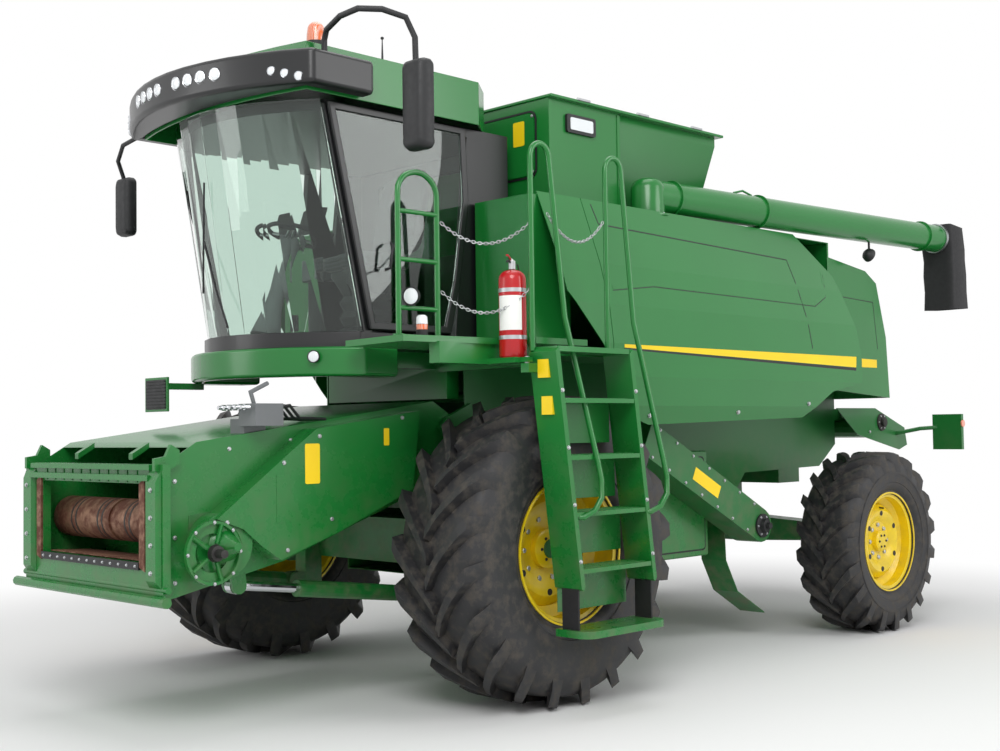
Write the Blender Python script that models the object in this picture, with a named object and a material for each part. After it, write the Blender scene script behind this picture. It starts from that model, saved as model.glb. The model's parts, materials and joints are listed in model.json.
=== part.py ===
"""Combine harvester without a header: body, cab, tank, axles, wheels and working parts.

Machine coordinates: x to the machine's left, y rearward from the front axle, z up from the ground.
At the end the whole machine is moved so that the origin is the bottom centre of its box.
"""
import math

import bmesh
import bpy
from mathutils import Matrix, Vector

# ---------------------------------------------------------------- driving dimensions (metres)
GAP = 0.0003            # clearance between pieces that touch
RUNNING_GAP = 0.006     # clearance between pieces that move past each other
WHEELBASE = 3.65
WHEEL_FACETS = 24

FRONT_TYRE_R, FRONT_TYRE_W, FRONT_TYRE_X, FRONT_RIM_R = 0.895, 0.65, 1.33, 0.432
REAR_TYRE_R, REAR_TYRE_W, REAR_TYRE_X, REAR_RIM_R = 0.69, 0.48, 1.39, 0.380
RIM_WIDTH_SHARE = 0.82
RIM_WALL = 0.012
BEAD_DEPTH = 0.026      # rim flange above the bead seat
FRONT_DISC, REAR_DISC = 0.05, 0.085    # disc face, outboard of the wheel's mid plane
HUB_R, STUB_R = 0.15, 0.055
FRONT_STUB, REAR_STUB = 0.20, 0.16     # how far the stub reaches into the hub
HUB_DEPTH = 0.09        # hub barrel, inboard of the disc

CHASSIS_X = 0.70        # outer face of the chassis side sheets
SHEET = 0.006           # formed steel sheet
FRAME_SHEET = 0.010     # chassis side sheet
KINGPIN_X = 1.04
KINGPIN_R = 0.035
STEER_ARM = 0.22        # steering arm, rearward from the kingpin
REAR_BEAM_Z = 0.74
ARM_DROP = 0.03         # steering arm, below the kingpin's middle

FLOOR_Z = 2.03          # bottom of the upper body
DECK_Z = 3.00           # top deck
CAB_BAY_X = 0.77
BODY_X = 1.2462          # half width of the upper body's frame
BODY_FRONT_Y, BODY_REAR_Y = 0.06, 3.42
PANEL_X = 1.50          # widest line of the side panels
PANEL_T = 0.006

HOPPER_X = 0.97         # half width of the hopper under the deck
TANK_X = 1.00           # half width of the tank's extension
TANK_Y0, TANK_Y1, TANK_STEP_Y = 0.50, 2.32, 1.20
TANK_TOP_Z = 3.70
TANK_WALL = 0.005
LID_T = 0.020

CAB_X = 0.75            # half width over the cab's pillars
CAB_FLOOR_Z, CAB_TOP_Z = 2.16, 3.47
CAB_REAR_Y = 0.38
CAB_FOOT_Y, CAB_HEAD_Y = -0.80, -1.10  # front pillar at the floor and at the roof
GLASS_T = 0.006
DOOR_X = 0.79

FEEDER_X = 0.69         # half width of the feeder house
FEEDER_PIVOT = (-0.16, 1.60)
FEEDER_FRONT_Y = -2.14

FEEDER_FACE_X = 0.76    # half width of the header's mounting face
MOUTH_X, MOUTH_LOW, MOUTH_HIGH = 0.54, 0.92, 1.33
DRUM_Y, DRUM_Z, DRUM_R = -1.90, 1.11, 0.12
CYL_X = 0.61            # lift cylinders
CYL_BASE, CYL_EYE = (-0.36, 0.60), (-1.62, 0.765)
PIN_R, ROD_R, BARREL_R = 0.020, 0.026, 0.048
BARREL_LENGTH = 0.86    # from the base pin to the gland
EYE_PLAY = 0.014        # open pivot of the lift linkage

PLATFORM_Z = 2.09
AUGER_X, AUGER_Y, AUGER_Z, AUGER_R = 1.11, 1.36, 3.15, 0.112
AUGER_SPLAY = 0.29      # how far the tube's end lies outboard of its riser
AUGER_END_Y = 4.93
LADDER_X = 1.70
LADDER_HINGE = (1.72, -0.475)
SHELF_Z = 1.975         # hinge plate that also carries the fire extinguisher
HINGE_R = 0.014


# ---------------------------------------------------------------- materials
def material(name, colour, roughness, metallic=0.0):
    made = bpy.data.materials.new(name)
    made.use_nodes = True
    shader = made.node_tree.nodes["Principled BSDF"]
    shader.inputs["Base Color"].default_value = (*colour, 1.0)
    shader.inputs["Roughness"].default_value = roughness
    shader.inputs["Metallic"].default_value = metallic
    return made


COLOURS = {
    "green": ((0.02, 0.19, 0.03), 0.35, 0.0),
    "yellow": ((0.85, 0.62, 0.01), 0.35, 0.0),
    "black": ((0.02, 0.02, 0.022), 0.5, 0.0),
    "rubber": ((0.03, 0.03, 0.03), 0.8, 0.0),
    "glass": ((0.30, 0.40, 0.38), 0.05, 0.0),
    "steel": ((0.60, 0.60, 0.60), 0.35, 1.0),
    "red": ((0.55, 0.01, 0.02), 0.3, 0.0),
    "grey": ((0.25, 0.25, 0.25), 0.6, 0.0),
    "orange": ((0.9, 0.25, 0.01), 0.2, 0.0),
    "brown": ((0.16, 0.06, 0.03), 0.6, 0.3),
}


# ---------------------------------------------------------------- closed meshes
def mesh_of(vertices, faces):
    made = bpy.data.meshes.new("piece")
    made.from_pydata([tuple(v) for v in vertices], [], faces)
    shape = bmesh.new()
    shape.from_mesh(made)
    bmesh.ops.recalc_face_normals(shape, faces=shape.faces)
    shape.to_mesh(made)
    shape.free()
    return made


def box(x0, x1, y0, y1, z0, z1):
    return prism([(x0, y0), (x1, y0), (x1, y1), (x0, y1)], "z", z0, z1)


def prism(outline, axis, low, high):
    """An outline pushed along an axis: (y, z) along x, (x, z) along y or (x, y) along z."""
    place = {
        "x": lambda a, b, t: (t, a, b),
        "y": lambda a, b, t: (a, t, b),
        "z": lambda a, b, t: (a, b, t),
    }[axis]
    count = len(outline)
    vertices = [place(a, b, low) for a, b in outline] + [place(a, b, high) for a, b in outline]
    faces = [tuple(range(count)), tuple(range(2 * count - 1, count - 1, -1))]
    faces += [(i, (i + 1) % count, count + (i + 1) % count, count + i) for i in range(count)]
    return mesh_of(vertices, faces)


def strip(line, axis, low, high, thickness):
    """A bent sheet: an open line given a thickness to its left, pushed along an axis."""
    points = [Vector(p) for p in line]
    offsets = []
    for i, point in enumerate(points):
        before = (point - points[i - 1]).normalized() if i else None
        after = (points[i + 1] - point).normalized() if i + 1 < len(points) else None
        if before is None or after is None:
            way = before or after
            offsets.append(Vector((-way.y, way.x)) * thickness)
            continue
        normal = (Vector((-before.y, before.x)) + Vector((-after.y, after.x))).normalized()
        reach = thickness / max(normal.dot(Vector((-before.y, before.x))), 0.3)
        offsets.append(normal * reach)
    outline = [tuple(p) for p in points] + [tuple(p + o) for p, o in reversed(list(zip(points, offsets)))]
    return prism(outline, axis, low, high)


def turned(profile, facets, axis="x", centre=(0.0, 0.0, 0.0), flip=False):
    """A closed turned body: (along, radius) points; points on the axis close the ends."""
    to_axis = {
        "x": lambda a, u, v: (a, u, v),
        "y": lambda a, u, v: (u, a, v),
        "z": lambda a, u, v: (u, v, a),
    }[axis]
    vertices, rings = [], []
    for along, radius in profile:
        along = -along if flip else along
        if radius <= 0.0:
            rings.append([len(vertices)])
            vertices.append(to_axis(along, 0.0, 0.0))
            continue
        ring = []
        for k in range(facets):
            angle = (k + 0.5) * math.tau / facets - math.pi / 2
            ring.append(len(vertices))
            vertices.append(to_axis(along, radius * math.cos(angle), radius * math.sin(angle)))
        rings.append(ring)
    closed = len(rings[0]) > 1
    pairs = list(zip(rings, rings[1:] + ([rings[0]] if closed else [])))
    if not closed:
        pairs = pairs[:len(rings) - 1]
    faces = []
    for one, two in pairs:
        for k in range(facets):
            n = (k + 1) % facets
            if len(one) == 1:
                faces.append((one[0], two[n], two[k]))
            elif len(two) == 1:
                faces.append((one[k], one[n], two[0]))
            else:
                faces.append((one[k], one[n], two[n], two[k]))
    shift = Vector(centre)
    return mesh_of([Vector(v) + shift for v in vertices], faces)


def rod(start, end, radius, facets=10):
    """A plain cylinder between two points."""
    a, b = Vector(start), Vector(end)
    return sweep([a, b], radius, facets)


def bored(radius, facets=12):
    """Radius of a faceted bore whose flats still clear a pin that turns in it."""
    return (radius + GAP) / math.cos(math.pi / facets)


def pin(x0, x1, centre, radius, facets=12):
    """A cylinder along x about a (y, z) centre."""
    return turned([(x0, 0.0), (x0, radius), (x1, radius), (x1, 0.0)], facets, "x", (0.0, *centre))


def sweep(route, radius, facets=8):
    """A round tube along a route of points, with flat ends."""
    points = [Vector(p) for p in route]
    ways = []
    for i in range(len(points)):
        way = Vector((0.0, 0.0, 0.0))
        if i:
            way += (points[i] - points[i - 1]).normalized()
        if i + 1 < len(points):
            way += (points[i + 1] - points[i]).normalized()
        ways.append(way.normalized())
    side = ways[0].orthogonal().normalized()
    vertices = []
    for i, (point, way) in enumerate(zip(points, ways)):
        if i:
            side = ways[i - 1].rotation_difference(way) @ side
        up = way.cross(side)
        stretch = 1.0
        if 0 < i < len(points) - 1:
            stretch = 1.0 / max(way.dot((points[i] - points[i - 1]).normalized()), 0.5)
        bend = (points[i + 1] - points[i] - (points[i] - points[i - 1])) if 0 < i < len(points) - 1 else None
        for k in range(facets):
            angle = (k + 0.5) * math.tau / facets
            arm = side * math.cos(angle) + up * math.sin(angle)
            if bend is not None and bend.length > 1e-6:
                inward = (bend - way * bend.dot(way)).normalized()
                arm += inward * arm.dot(inward) * (stretch - 1.0)
            vertices.append(point + arm * radius)
    count = len(points)
    faces = [tuple(range(facets)), tuple(range(count * facets - 1, (count - 1) * facets - 1, -1))]
    for i in range(count - 1):
        for k in range(facets):
            n = (k + 1) % facets
            faces.append((i * facets + k, i * facets + n, (i + 1) * facets + n, (i + 1) * facets + k))
    return mesh_of(vertices, faces)


def hoop(start, end, rise, count=7):
    """Points of a half-round bend from start over to end, rising by `rise`."""
    a, b = Vector(start), Vector(end)
    middle, half = (a + b) / 2, (a - b) / 2
    points = []
    for k in range(count):
        angle = math.pi * k / (count - 1)
        points.append(middle + half * math.cos(angle) + Vector((0.0, 0.0, rise * math.sin(angle))))
    return points


def arc(x0, x1, y_side, y_middle, count):
    """Points (x, y) of a bowed front edge from x0 to x1, with its middle at y_middle."""
    points = []
    for k in range(count + 1):
        t = k / count
        x = x0 + (x1 - x0) * t
        bow = 1.0 - (2.0 * t - 1.0) ** 2
        points.append((x, y_side + (y_middle - y_side) * bow))
    return points


def mirrored(mesh):
    """The same shape on the machine's other side."""
    made = mesh.copy()
    made.transform(Matrix.Scale(-1.0, 4, (1.0, 0.0, 0.0)))
    made.flip_normals()
    return made


# ---------------------------------------------------------------- objects
MACHINE = None
MATERIALS = {}


def place(name, mesh, origin, visible=True):
    made = bpy.data.objects.new(name, mesh)
    mesh.transform(Matrix.Translation(-Vector(origin)))
    made.location = origin
    made.parent = MACHINE
    bpy.context.scene.collection.objects.link(made)
    if not visible:
        made.hide_render = True
        made.display_type = "WIRE"
    return made


def node(name, colour, pieces, cuts=(), origin=(0.0, 0.0, 0.0), sharp=35.0):
    """One closed solid: the first piece, joined with the others, less the cuts."""
    solid = place(name, pieces[0], origin)
    solid.data.name = name
    solid.data.materials.clear()
    solid.data.materials.append(MATERIALS[colour])
    for operation, others in (("UNION", pieces[1:]), ("DIFFERENCE", cuts)):
        for i, other in enumerate(others):
            guide = place(f"guide_{name}_{operation[0]}{i}", other, origin, visible=False)
            step = solid.modifiers.new(f"{operation.lower()}_{i}", "BOOLEAN")
            step.operation = operation
            step.solver = "EXACT"
            step.object = guide
    solid.data.shade_smooth()
    solid.data.set_sharp_from_angle(angle=math.radians(sharp))
    return solid


# ---------------------------------------------------------------- wheels and axles
def hub_height(tyre_r):
    """The tyre stands on a flat facet, so the hub is a little lower than the tyre's radius."""
    return tyre_r * math.cos(math.pi / WHEEL_FACETS)


def tyre(name, side, x, y, radius, width, rim_r):
    wall = radius - rim_r
    half, rim_half = width / 2, width * RIM_WIDTH_SHARE / 2
    seat = rim_r - BEAD_DEPTH + GAP
    bead = rim_half - 0.014
    outer = [(half * 0.50, radius), (half * 0.84, radius - wall * 0.06), (half * 0.95, radius - wall * 0.22),
             (half, radius - wall * 0.52), (half * 0.93, radius - wall * 0.82), (bead, rim_r + 0.004), (bead, seat)]
    inner = [(bead - 0.05, seat), (half * 0.86, radius - wall * 0.52), (half * 0.74, radius - wall * 0.20)]
    ring = outer + inner
    profile = ring + [(-a, r) for a, r in reversed(ring)]
    hub = (side * x, y, hub_height(radius))
    shape = turned(profile, WHEEL_FACETS, "x", hub)
    return node(name, "rubber", [shape], origin=hub)


def rim(name, side, x, y, tyre_r, width, rim_r, disc, stub):
    half = width * RIM_WIDTH_SHARE / 2
    flange = half + RIM_WALL
    seat = rim_r - BEAD_DEPTH
    barrel = seat - RIM_WALL
    back = disc - 0.014
    profile = [
        (disc + 0.05, 0.0), (disc + 0.05, HUB_R * 0.45), (disc + 0.012, HUB_R * 0.55), (disc, HUB_R),
        (disc, barrel), (half, barrel), (flange, rim_r - RIM_WALL), (flange, rim_r), (half, rim_r),
        (half - 0.012, seat), (-half + 0.012, seat), (-half, rim_r), (-flange, rim_r),
        (-flange, rim_r - RIM_WALL), (-half, barrel), (back, barrel), (back, HUB_R),
        (back - HUB_DEPTH, HUB_R * 0.9), (back - HUB_DEPTH, bored(STUB_R, WHEEL_FACETS)),
        (back - HUB_DEPTH + stub - 0.04, bored(STUB_R, WHEEL_FACETS)),
        (back - HUB_DEPTH + stub - 0.04, 0.0),
    ]
    hub = (side * x, y, hub_height(tyre_r))
    shape = turned(profile, WHEEL_FACETS, "x", (0.0, 0.0, 0.0), flip=side < 0)
    shape.transform(Matrix.Translation(hub))
    return node(name, "yellow", [shape], origin=hub)


def stub_start(x, disc):
    """Inboard face of the hub barrel, measured from the middle of the machine."""
    return x + disc - 0.014 - HUB_DEPTH


def stub_end(x, disc, length):
    """Outboard end of the stub, just short of the bottom of the hub's bore."""
    return stub_start(x, disc) + length - 0.042


def stub(side, x, y, z, disc, length, root):
    start, end = stub_start(x, disc), stub_end(x, disc, length)
    profile = [(start - root, 0.0), (start - root, STUB_R), (end, STUB_R), (end, 0.0)]
    shape = turned(profile, WHEEL_FACETS, "x", flip=side < 0)
    shape.transform(Matrix.Translation((0.0, y, z)))
    return shape


def wheels():
    for side, end in ((1, "left"), (-1, "right")):
        tyre(f"tyre_front_{end}", side, FRONT_TYRE_X, 0.0, FRONT_TYRE_R, FRONT_TYRE_W, FRONT_RIM_R)
        rim(f"rim_front_{end}", side, FRONT_TYRE_X, 0.0, FRONT_TYRE_R, FRONT_TYRE_W, FRONT_RIM_R,
            FRONT_DISC, FRONT_STUB)
        tyre(f"tyre_rear_{end}", side, REAR_TYRE_X, WHEELBASE, REAR_TYRE_R, REAR_TYRE_W, REAR_RIM_R)
        rim(f"rim_rear_{end}", side, REAR_TYRE_X, WHEELBASE, REAR_TYRE_R, REAR_TYRE_W, REAR_RIM_R,
            REAR_DISC, REAR_STUB)


def front_axle():
    z = hub_height(FRONT_TYRE_R)
    face = stub_start(FRONT_TYRE_X, FRONT_DISC) - RUNNING_GAP
    pieces = [box(-face + 0.17, face - 0.17, -0.16, 0.16, z - 0.14, z + 0.14)]
    for side in (1, -1):
        end = stub_end(FRONT_TYRE_X, FRONT_DISC, FRONT_STUB)
        drive = turned([(face - 0.18, 0.0), (face - 0.18, 0.22), (face, 0.20), (face, STUB_R), (end, STUB_R), (end, 0.0)],
                       WHEEL_FACETS, "x", flip=side < 0)
        drive.transform(Matrix.Translation((0.0, 0.0, z)))
        pieces.append(drive)
        pieces.append(box(side * CYL_X - 0.055, side * CYL_X + 0.055, CYL_BASE[0] + 0.075, -0.15,
                          CYL_BASE[1] - 0.06, z))
        pieces.append(prism(lug_outline(CYL_BASE, (CYL_BASE[0] + 0.10, CYL_BASE[1])), "x",
                            side * CYL_X - 0.053, side * CYL_X - 0.031))
        pieces.append(prism(lug_outline(CYL_BASE, (CYL_BASE[0] + 0.10, CYL_BASE[1])), "x",
                            side * CYL_X + 0.031, side * CYL_X + 0.053))
        pieces.append(pin(side * CYL_X - 0.045, side * CYL_X + 0.045, CYL_BASE, PIN_R))
    node("front_axle", "green", pieces)


def lug_outline(eye, root, width=0.05):
    """A flat lug with a half-round nose about `eye`, running back to `root`: (y, z) points."""
    a, b = Vector(eye), Vector(root)
    way = (b - a).normalized()
    across = Vector((-way.y, way.x))
    points = [b + across * width]
    for k in range(7):
        angle = math.pi * k / 6
        points.append(a + across * width * math.cos(angle) - way * width * math.sin(angle))
    points.append(b - across * width)
    return [tuple(p) for p in points]


def fork_plan(side, root):
    """Round-nosed plate over the kingpin: (x, y) points."""
    r = 0.060
    points = [(side * root, WHEELBASE - r)]
    for k in range(9):
        angle = math.pi * (k / 8 - 0.5)
        points.append((side * (KINGPIN_X + r * math.cos(angle)), WHEELBASE + r * math.sin(angle)))
    points.append((side * root, WHEELBASE + r))
    return points


def rear_axle():
    z = REAR_BEAM_Z
    fork = KINGPIN_X - 0.06
    beam = [(-fork, z - 0.07), (-0.30, z - 0.10), (0.30, z - 0.10), (fork, z - 0.07),
            (fork, z + 0.07), (0.30, z + 0.11), (-0.30, z + 0.11), (-fork, z + 0.07)]
    pieces = [prism(beam, "y", WHEELBASE - 0.10, WHEELBASE + 0.10)]
    for side in (1, -1):
        for low, high in ((z + 0.085, z + 0.125), (z - 0.125, z - 0.085)):
            pieces.append(prism(fork_plan(side, fork - 0.10), "z", low, high))
        x0, x1 = sorted((side * (fork - 0.10), side * (fork - 0.005)))
        pieces.append(box(x0, x1, WHEELBASE - 0.069, WHEELBASE + 0.069, z - 0.12, z + 0.12))
        pieces.append(turned([(z - 0.12, 0.0), (z - 0.12, KINGPIN_R), (z + 0.12, KINGPIN_R), (z + 0.12, 0.0)],
                             16, "z", (side * KINGPIN_X, WHEELBASE, 0.0)))
    pieces.append(box(-0.12, 0.12, WHEELBASE - 0.16, WHEELBASE + 0.16, z + 0.05, PIVOT_Z))
    notches = []
    for side in (1, -1):
        x0, x1 = sorted((side * (KINGPIN_X - 0.12), side * (KINGPIN_X - 0.04)))
        notches.append(box(x0, x1, WHEELBASE + 0.005, WHEELBASE + 0.12, z - ARM_DROP - 0.022, z - ARM_DROP + 0.022))
    node("rear_axle", "green", pieces, notches)


PIVOT_Z = 1.12          # top of the rear axle's pivot block, under the chassis cross member


def knuckle(side, name):
    z, hub_z = REAR_BEAM_Z, hub_height(REAR_TYRE_R)
    sleeve_half = 0.085 - GAP
    sleeve = turned([(z - sleeve_half, bored(KINGPIN_R, 16)), (z - sleeve_half, 0.055), (z + sleeve_half, 0.055),
                     (z + sleeve_half, bored(KINGPIN_R, 16))], 16, "z", (side * KINGPIN_X, WHEELBASE, 0.0))
    face = stub_start(REAR_TYRE_X, REAR_DISC) - RUNNING_GAP
    x0, x1 = sorted((side * (KINGPIN_X + 0.035), side * (KINGPIN_X + 0.10)))
    neck = box(x0, x1, WHEELBASE - 0.045, WHEELBASE + 0.045, z - 0.075, z + 0.075)
    x0, x1 = sorted((side * (KINGPIN_X + 0.075), side * face))
    block = box(x0, x1, WHEELBASE - 0.05, WHEELBASE + 0.05, hub_z - 0.07, z + 0.07)
    spindle = stub(side, REAR_TYRE_X, WHEELBASE, hub_z, REAR_DISC, REAR_STUB, 0.20)
    arm_z = z - ARM_DROP
    arm = box(side * KINGPIN_X - 0.03, side * KINGPIN_X + 0.03, WHEELBASE + 0.045,
              WHEELBASE + STEER_ARM + 0.035, arm_z - 0.015, arm_z + 0.015)
    ball = turned([(arm_z - 0.045, 0.0), (arm_z - 0.045, 0.016), (arm_z, 0.016), (arm_z, 0.0)],
                 12, "z", (side * KINGPIN_X, WHEELBASE + STEER_ARM, 0.0))
    node(name, "green", [sleeve, neck, block, spindle, arm, ball], [bore_clear(side, z)],
         origin=(side * KINGPIN_X, WHEELBASE, z))


def bore_clear(side, z):
    """Clears the kingpin out of what is joined to the knuckle's sleeve."""
    return turned([(z - 0.2, 0.0), (z - 0.2, bored(KINGPIN_R, 16)), (z + 0.2, bored(KINGPIN_R, 16)), (z + 0.2, 0.0)],
                  16, "z", (side * KINGPIN_X, WHEELBASE, 0.0))


def tie_rod():
    """Bar between the two steering arms: carried on the left pin, open on the right one."""
    z = REAR_BEAM_Z - 0.045 - 0.014 - GAP
    y = WHEELBASE + STEER_ARM
    bar = box(-KINGPIN_X, KINGPIN_X, y - 0.012, y + 0.012, z - 0.012, z + 0.012)
    eyes = [turned([(z - 0.013, 0.0), (z - 0.013, 0.036), (z + 0.013, 0.036), (z + 0.013, 0.0)], 16, "z",
                   (side * KINGPIN_X, y, 0.0)) for side in (1, -1)]
    holes = [turned([(z - 0.1, 0.0), (z - 0.1, play), (z + 0.1, play), (z + 0.1, 0.0)], 12, "z",
                    (side * KINGPIN_X, y, 0.0)) for side, play in ((1, bored(0.016)), (-1, 0.020))]
    node("tie_rod", "green", [bar, *eyes], holes, origin=(KINGPIN_X, y, z))


# ---------------------------------------------------------------- chassis and body
CHASSIS_OUTLINE = [
    (0.19, 0.62), (2.45, 0.62), (3.02, 1.22), (4.10, 1.24), (4.36, 1.42), (4.36, FLOOR_Z - GAP),
    (0.02, FLOOR_Z - GAP), (0.02, 1.08), (0.19, 1.08),
]


def chassis():
    inner = CHASSIS_X - FRAME_SHEET
    pieces = [prism(CHASSIS_OUTLINE, "x", inner, CHASSIS_X), prism(CHASSIS_OUTLINE, "x", -CHASSIS_X, -inner)]
    for y, z in ((0.30, 1.80), (0.30, 0.75), (1.40, 0.72), (2.40, 0.75), (2.40, 1.90), (4.30, 1.90)):
        pieces.append(rod((-inner - 0.004, y, z), (inner + 0.004, y, z), 0.035, 8))
    pieces.append(box(-inner - 0.003, inner + 0.003, WHEELBASE - 0.15, WHEELBASE + 0.15, PIVOT_Z + GAP, PIVOT_Z + 0.16))
    z = hub_height(FRONT_TYRE_R)
    pieces.append(box(-inner - 0.003, inner + 0.003, 0.02, 0.10, z + 0.19, z + 0.28))
    for side in (1, -1):
        x0, x1 = sorted((side * 0.30, side * 0.42))
        pieces.append(box(x0, x1, -0.12, 0.09, z + 0.14 + GAP, z + 0.21))
        x0, x1 = sorted((side * (CHASSIS_X - 0.002), side * (CHASSIS_X + 0.03)))
        ear = prism([(0.05, 1.45), (0.05, 1.75), (FEEDER_PIVOT[0], FEEDER_PIVOT[1] + 0.06),
                     (FEEDER_PIVOT[0] - 0.05, FEEDER_PIVOT[1]), (FEEDER_PIVOT[0], FEEDER_PIVOT[1] - 0.06)], "x", x0, x1)
        pieces.append(ear)
        x0, x1 = sorted((side * (FEEDER_X - 0.03), side * (CHASSIS_X + 0.02)))
        pieces.append(pin(x0, x1, FEEDER_PIVOT, 0.030, 24))
    pieces.append(strip([(0.19, 0.6245), (2.45, 0.6245), (3.02, 1.2245), (3.30, 1.2295)], "x", -inner - 0.004, inner + 0.004, 0.006))
    node("chassis", "green", pieces)


def body_plan(inset):
    """Plan of the upper body: a box with a bay in front for the back of the cab."""
    x, bay = BODY_X - inset, CAB_BAY_X + inset
    y0, y1, back = BODY_FRONT_Y + inset, BODY_REAR_Y - inset, CAB_REAR_Y + 0.025 + inset
    return [(-x, y0), (-bay, y0), (-bay, back), (bay, back), (bay, y0), (x, y0), (x, y1), (-x, y1)]


def upper_body():
    """Deck, floor and end walls between the side panels, with the tank's opening in the deck."""
    plan = body_plan(0.0)
    walls = prism(plan, "z", FLOOR_Z, DECK_Z)
    inside = prism(body_plan(SHEET), "z", FLOOR_Z + SHEET, DECK_Z - SHEET)
    side_gap = box(-BODY_X - 0.1, BODY_X + 0.1, BODY_FRONT_Y + 0.35, BODY_REAR_Y - 0.02, FLOOR_Z + SHEET, DECK_Z - SHEET)
    hole = box(-HOPPER_X - GAP, HOPPER_X + GAP, TANK_Y0 - GAP, TANK_Y1 + GAP, DECK_Z - 0.1, DECK_Z + 0.1)
    node("upper_body", "green", [walls], [inside, side_gap, hole])


def grain_tank():
    def shell(grow, rise):
        t = -grow
        hopper = prism([(-HOPPER_X + t, DECK_Z + 0.02), (-HOPPER_X + t, 2.62), (-0.45 + t * 0.5, FLOOR_Z + 0.03 + t),
                        (0.45 - t * 0.5, FLOOR_Z + 0.03 + t), (HOPPER_X - t, 2.62), (HOPPER_X - t, DECK_Z + 0.02)],
                       "y", TANK_Y0 + t, TANK_Y1 - t)
        front = prism([(-TANK_X + t, DECK_Z + GAP), (TANK_X - t, DECK_Z + GAP), (TANK_X - t, TANK_TOP_Z + rise),
                       (-TANK_X + t, TANK_TOP_Z + rise)], "y", TANK_Y0 + 0.001 + t, TANK_STEP_Y - t)
        rear = prism([(-0.74 + t, DECK_Z + 0.005), (0.74 - t, DECK_Z + 0.005), (TANK_X - 0.02 - t, TANK_TOP_Z - 0.06),
                      (TANK_X - 0.02 - t, TANK_TOP_Z + rise), (-TANK_X + 0.02 + t, TANK_TOP_Z + rise),
                      (-TANK_X + 0.02 + t, TANK_TOP_Z - 0.06)], "y", TANK_STEP_Y - 0.1, TANK_Y1 - 0.001 - t)
        return [hopper, front, rear]
    node("grain_tank", "green", shell(0.0, 0.0), shell(-TANK_WALL, 0.1))


def tank_lids():
    z = TANK_TOP_Z + GAP
    for side, end in ((1, "left"), (-1, "right")):
        x0, x1 = sorted((side * 0.003, side * (TANK_X + 0.04)))
        plate = box(x0, x1, TANK_Y0 - 0.012, TANK_Y1 + 0.03, z, z + LID_T)
        node(f"tank_lid_{end}", "green", [plate], origin=(side * (TANK_X + 0.04), (TANK_Y0 + TANK_Y1) / 2, z + LID_T))


def engine():
    node("engine", "grey", [box(-0.48, 0.48, 2.48, 3.24, FLOOR_Z + SHEET + GAP, 2.86)])


PANEL_FRONT_Y = 0.52    # front edge of the opening side panel, clear of the ladder's rails
SKIRT_REAR_Y = PANEL_FRONT_Y - RUNNING_GAP
PANEL_OUTLINE = [
    (PANEL_FRONT_Y, 3.02), (2.92, 3.02), (3.28, 2.72), (3.42, 2.30), (3.46, 1.90), (3.06, 1.83), (2.74, 1.64),
    (0.98, 1.60), (0.74, 1.66), (PANEL_FRONT_Y, 1.966),
]
SKIRT_OUTLINE = [(0.12, 3.02), (SKIRT_REAR_Y, 3.02), (SKIRT_REAR_Y, 1.975), (0.46, 2.05), (0.16, 2.40)]
PANEL_SECTION = [(1.235, 3.05), (1.40, 2.60), (1.47, 2.34), (PANEL_X, 2.10), (PANEL_X - 0.01, 1.90), (1.45, 1.72), (1.36, 1.55)]


def side_panel(side, name, outline):
    section = [(x - GAP, z) for x, z in PANEL_SECTION]
    sheet = strip([(x, z) for x, z in section], "y", 0.0, 3.6, -PANEL_T)
    keep = prism(outline, "x", 1.0, 1.7)
    if side < 0:
        sheet, keep = mirrored(sheet), mirrored(keep)
    solid = node(name, "green", [sheet], origin=(side * 1.235, 0.0, 3.02))
    guide = place(f"guide_{name}_keep", keep, (side * 1.235, 0.0, 3.02), visible=False)
    step = solid.modifiers.new("outline", "BOOLEAN")
    step.operation = "INTERSECT"
    step.solver = "EXACT"
    step.object = guide
    return solid


def rear_hood():
    """Straw hood behind the side panels: open in front, below and at the rear."""
    x, t = 1.20, 0.005
    outer = [(BODY_REAR_Y + 0.05, 1.86), (4.40, 1.80), (4.36, 2.30), (4.22, 2.74), (4.05, 2.83), (BODY_REAR_Y + 0.05, 2.90)]
    inner = [(BODY_REAR_Y - 0.3, 1.70), (4.40 - t, 1.70), (4.36 - t, 2.30), (4.22 - t, 2.74 - t), (4.05, 2.83 - t),
             (BODY_REAR_Y - 0.3, 2.91 - t)]
    tie = box(-x + 0.001, x - 0.001, BODY_REAR_Y + 0.0503, BODY_REAR_Y + 0.11, FLOOR_Z, FLOOR_Z + 0.06)
    foot = box(-x + 0.002, x - 0.002, BODY_REAR_Y + GAP, BODY_REAR_Y + 0.08, 2.2, 2.3)
    solid = node("rear_hood", "green", [prism(outer, "x", -x, x)], [prism(inner, "x", -x + t, x - t)])
    for i, piece in enumerate((tie, foot)):
        guide = place(f"guide_rear_hood_bar{i}", piece, (0.0, 0.0, 0.0), visible=False)
        step = solid.modifiers.new(f"bar_{i}", "BOOLEAN")
        step.operation = "UNION"
        step.solver = "EXACT"
        step.object = guide


def chopper():
    """Straw chopper under the hood: side plates, rotor housing and the spreader deflector."""
    x = 0.95
    outline = [(3.98, 1.72), (4.60, 1.72), (5.10, 1.55), (5.14, 1.40), (5.00, 1.36), (4.30, 1.50)]
    side_left = prism(outline, "x", x - 0.008, x)
    side_right = prism(outline, "x", -x, -x + 0.008)
    top = strip([(4.44, 1.7195), (4.60, 1.7195), (5.10, 1.5495)], "x", -x + 0.004, x - 0.004, -0.006)
    inner = CHASSIS_X - FRAME_SHEET - GAP
    hanger = box(-inner, inner, 4.28, 4.50, 1.62, 1.7165)
    rotor = rod((-x + 0.004, 4.55, 1.56), (x - 0.004, 4.55, 1.56), 0.09, 12)
    node("straw_chopper", "green", [top, side_left, side_right, hanger, rotor, *light_boards()])


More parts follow.
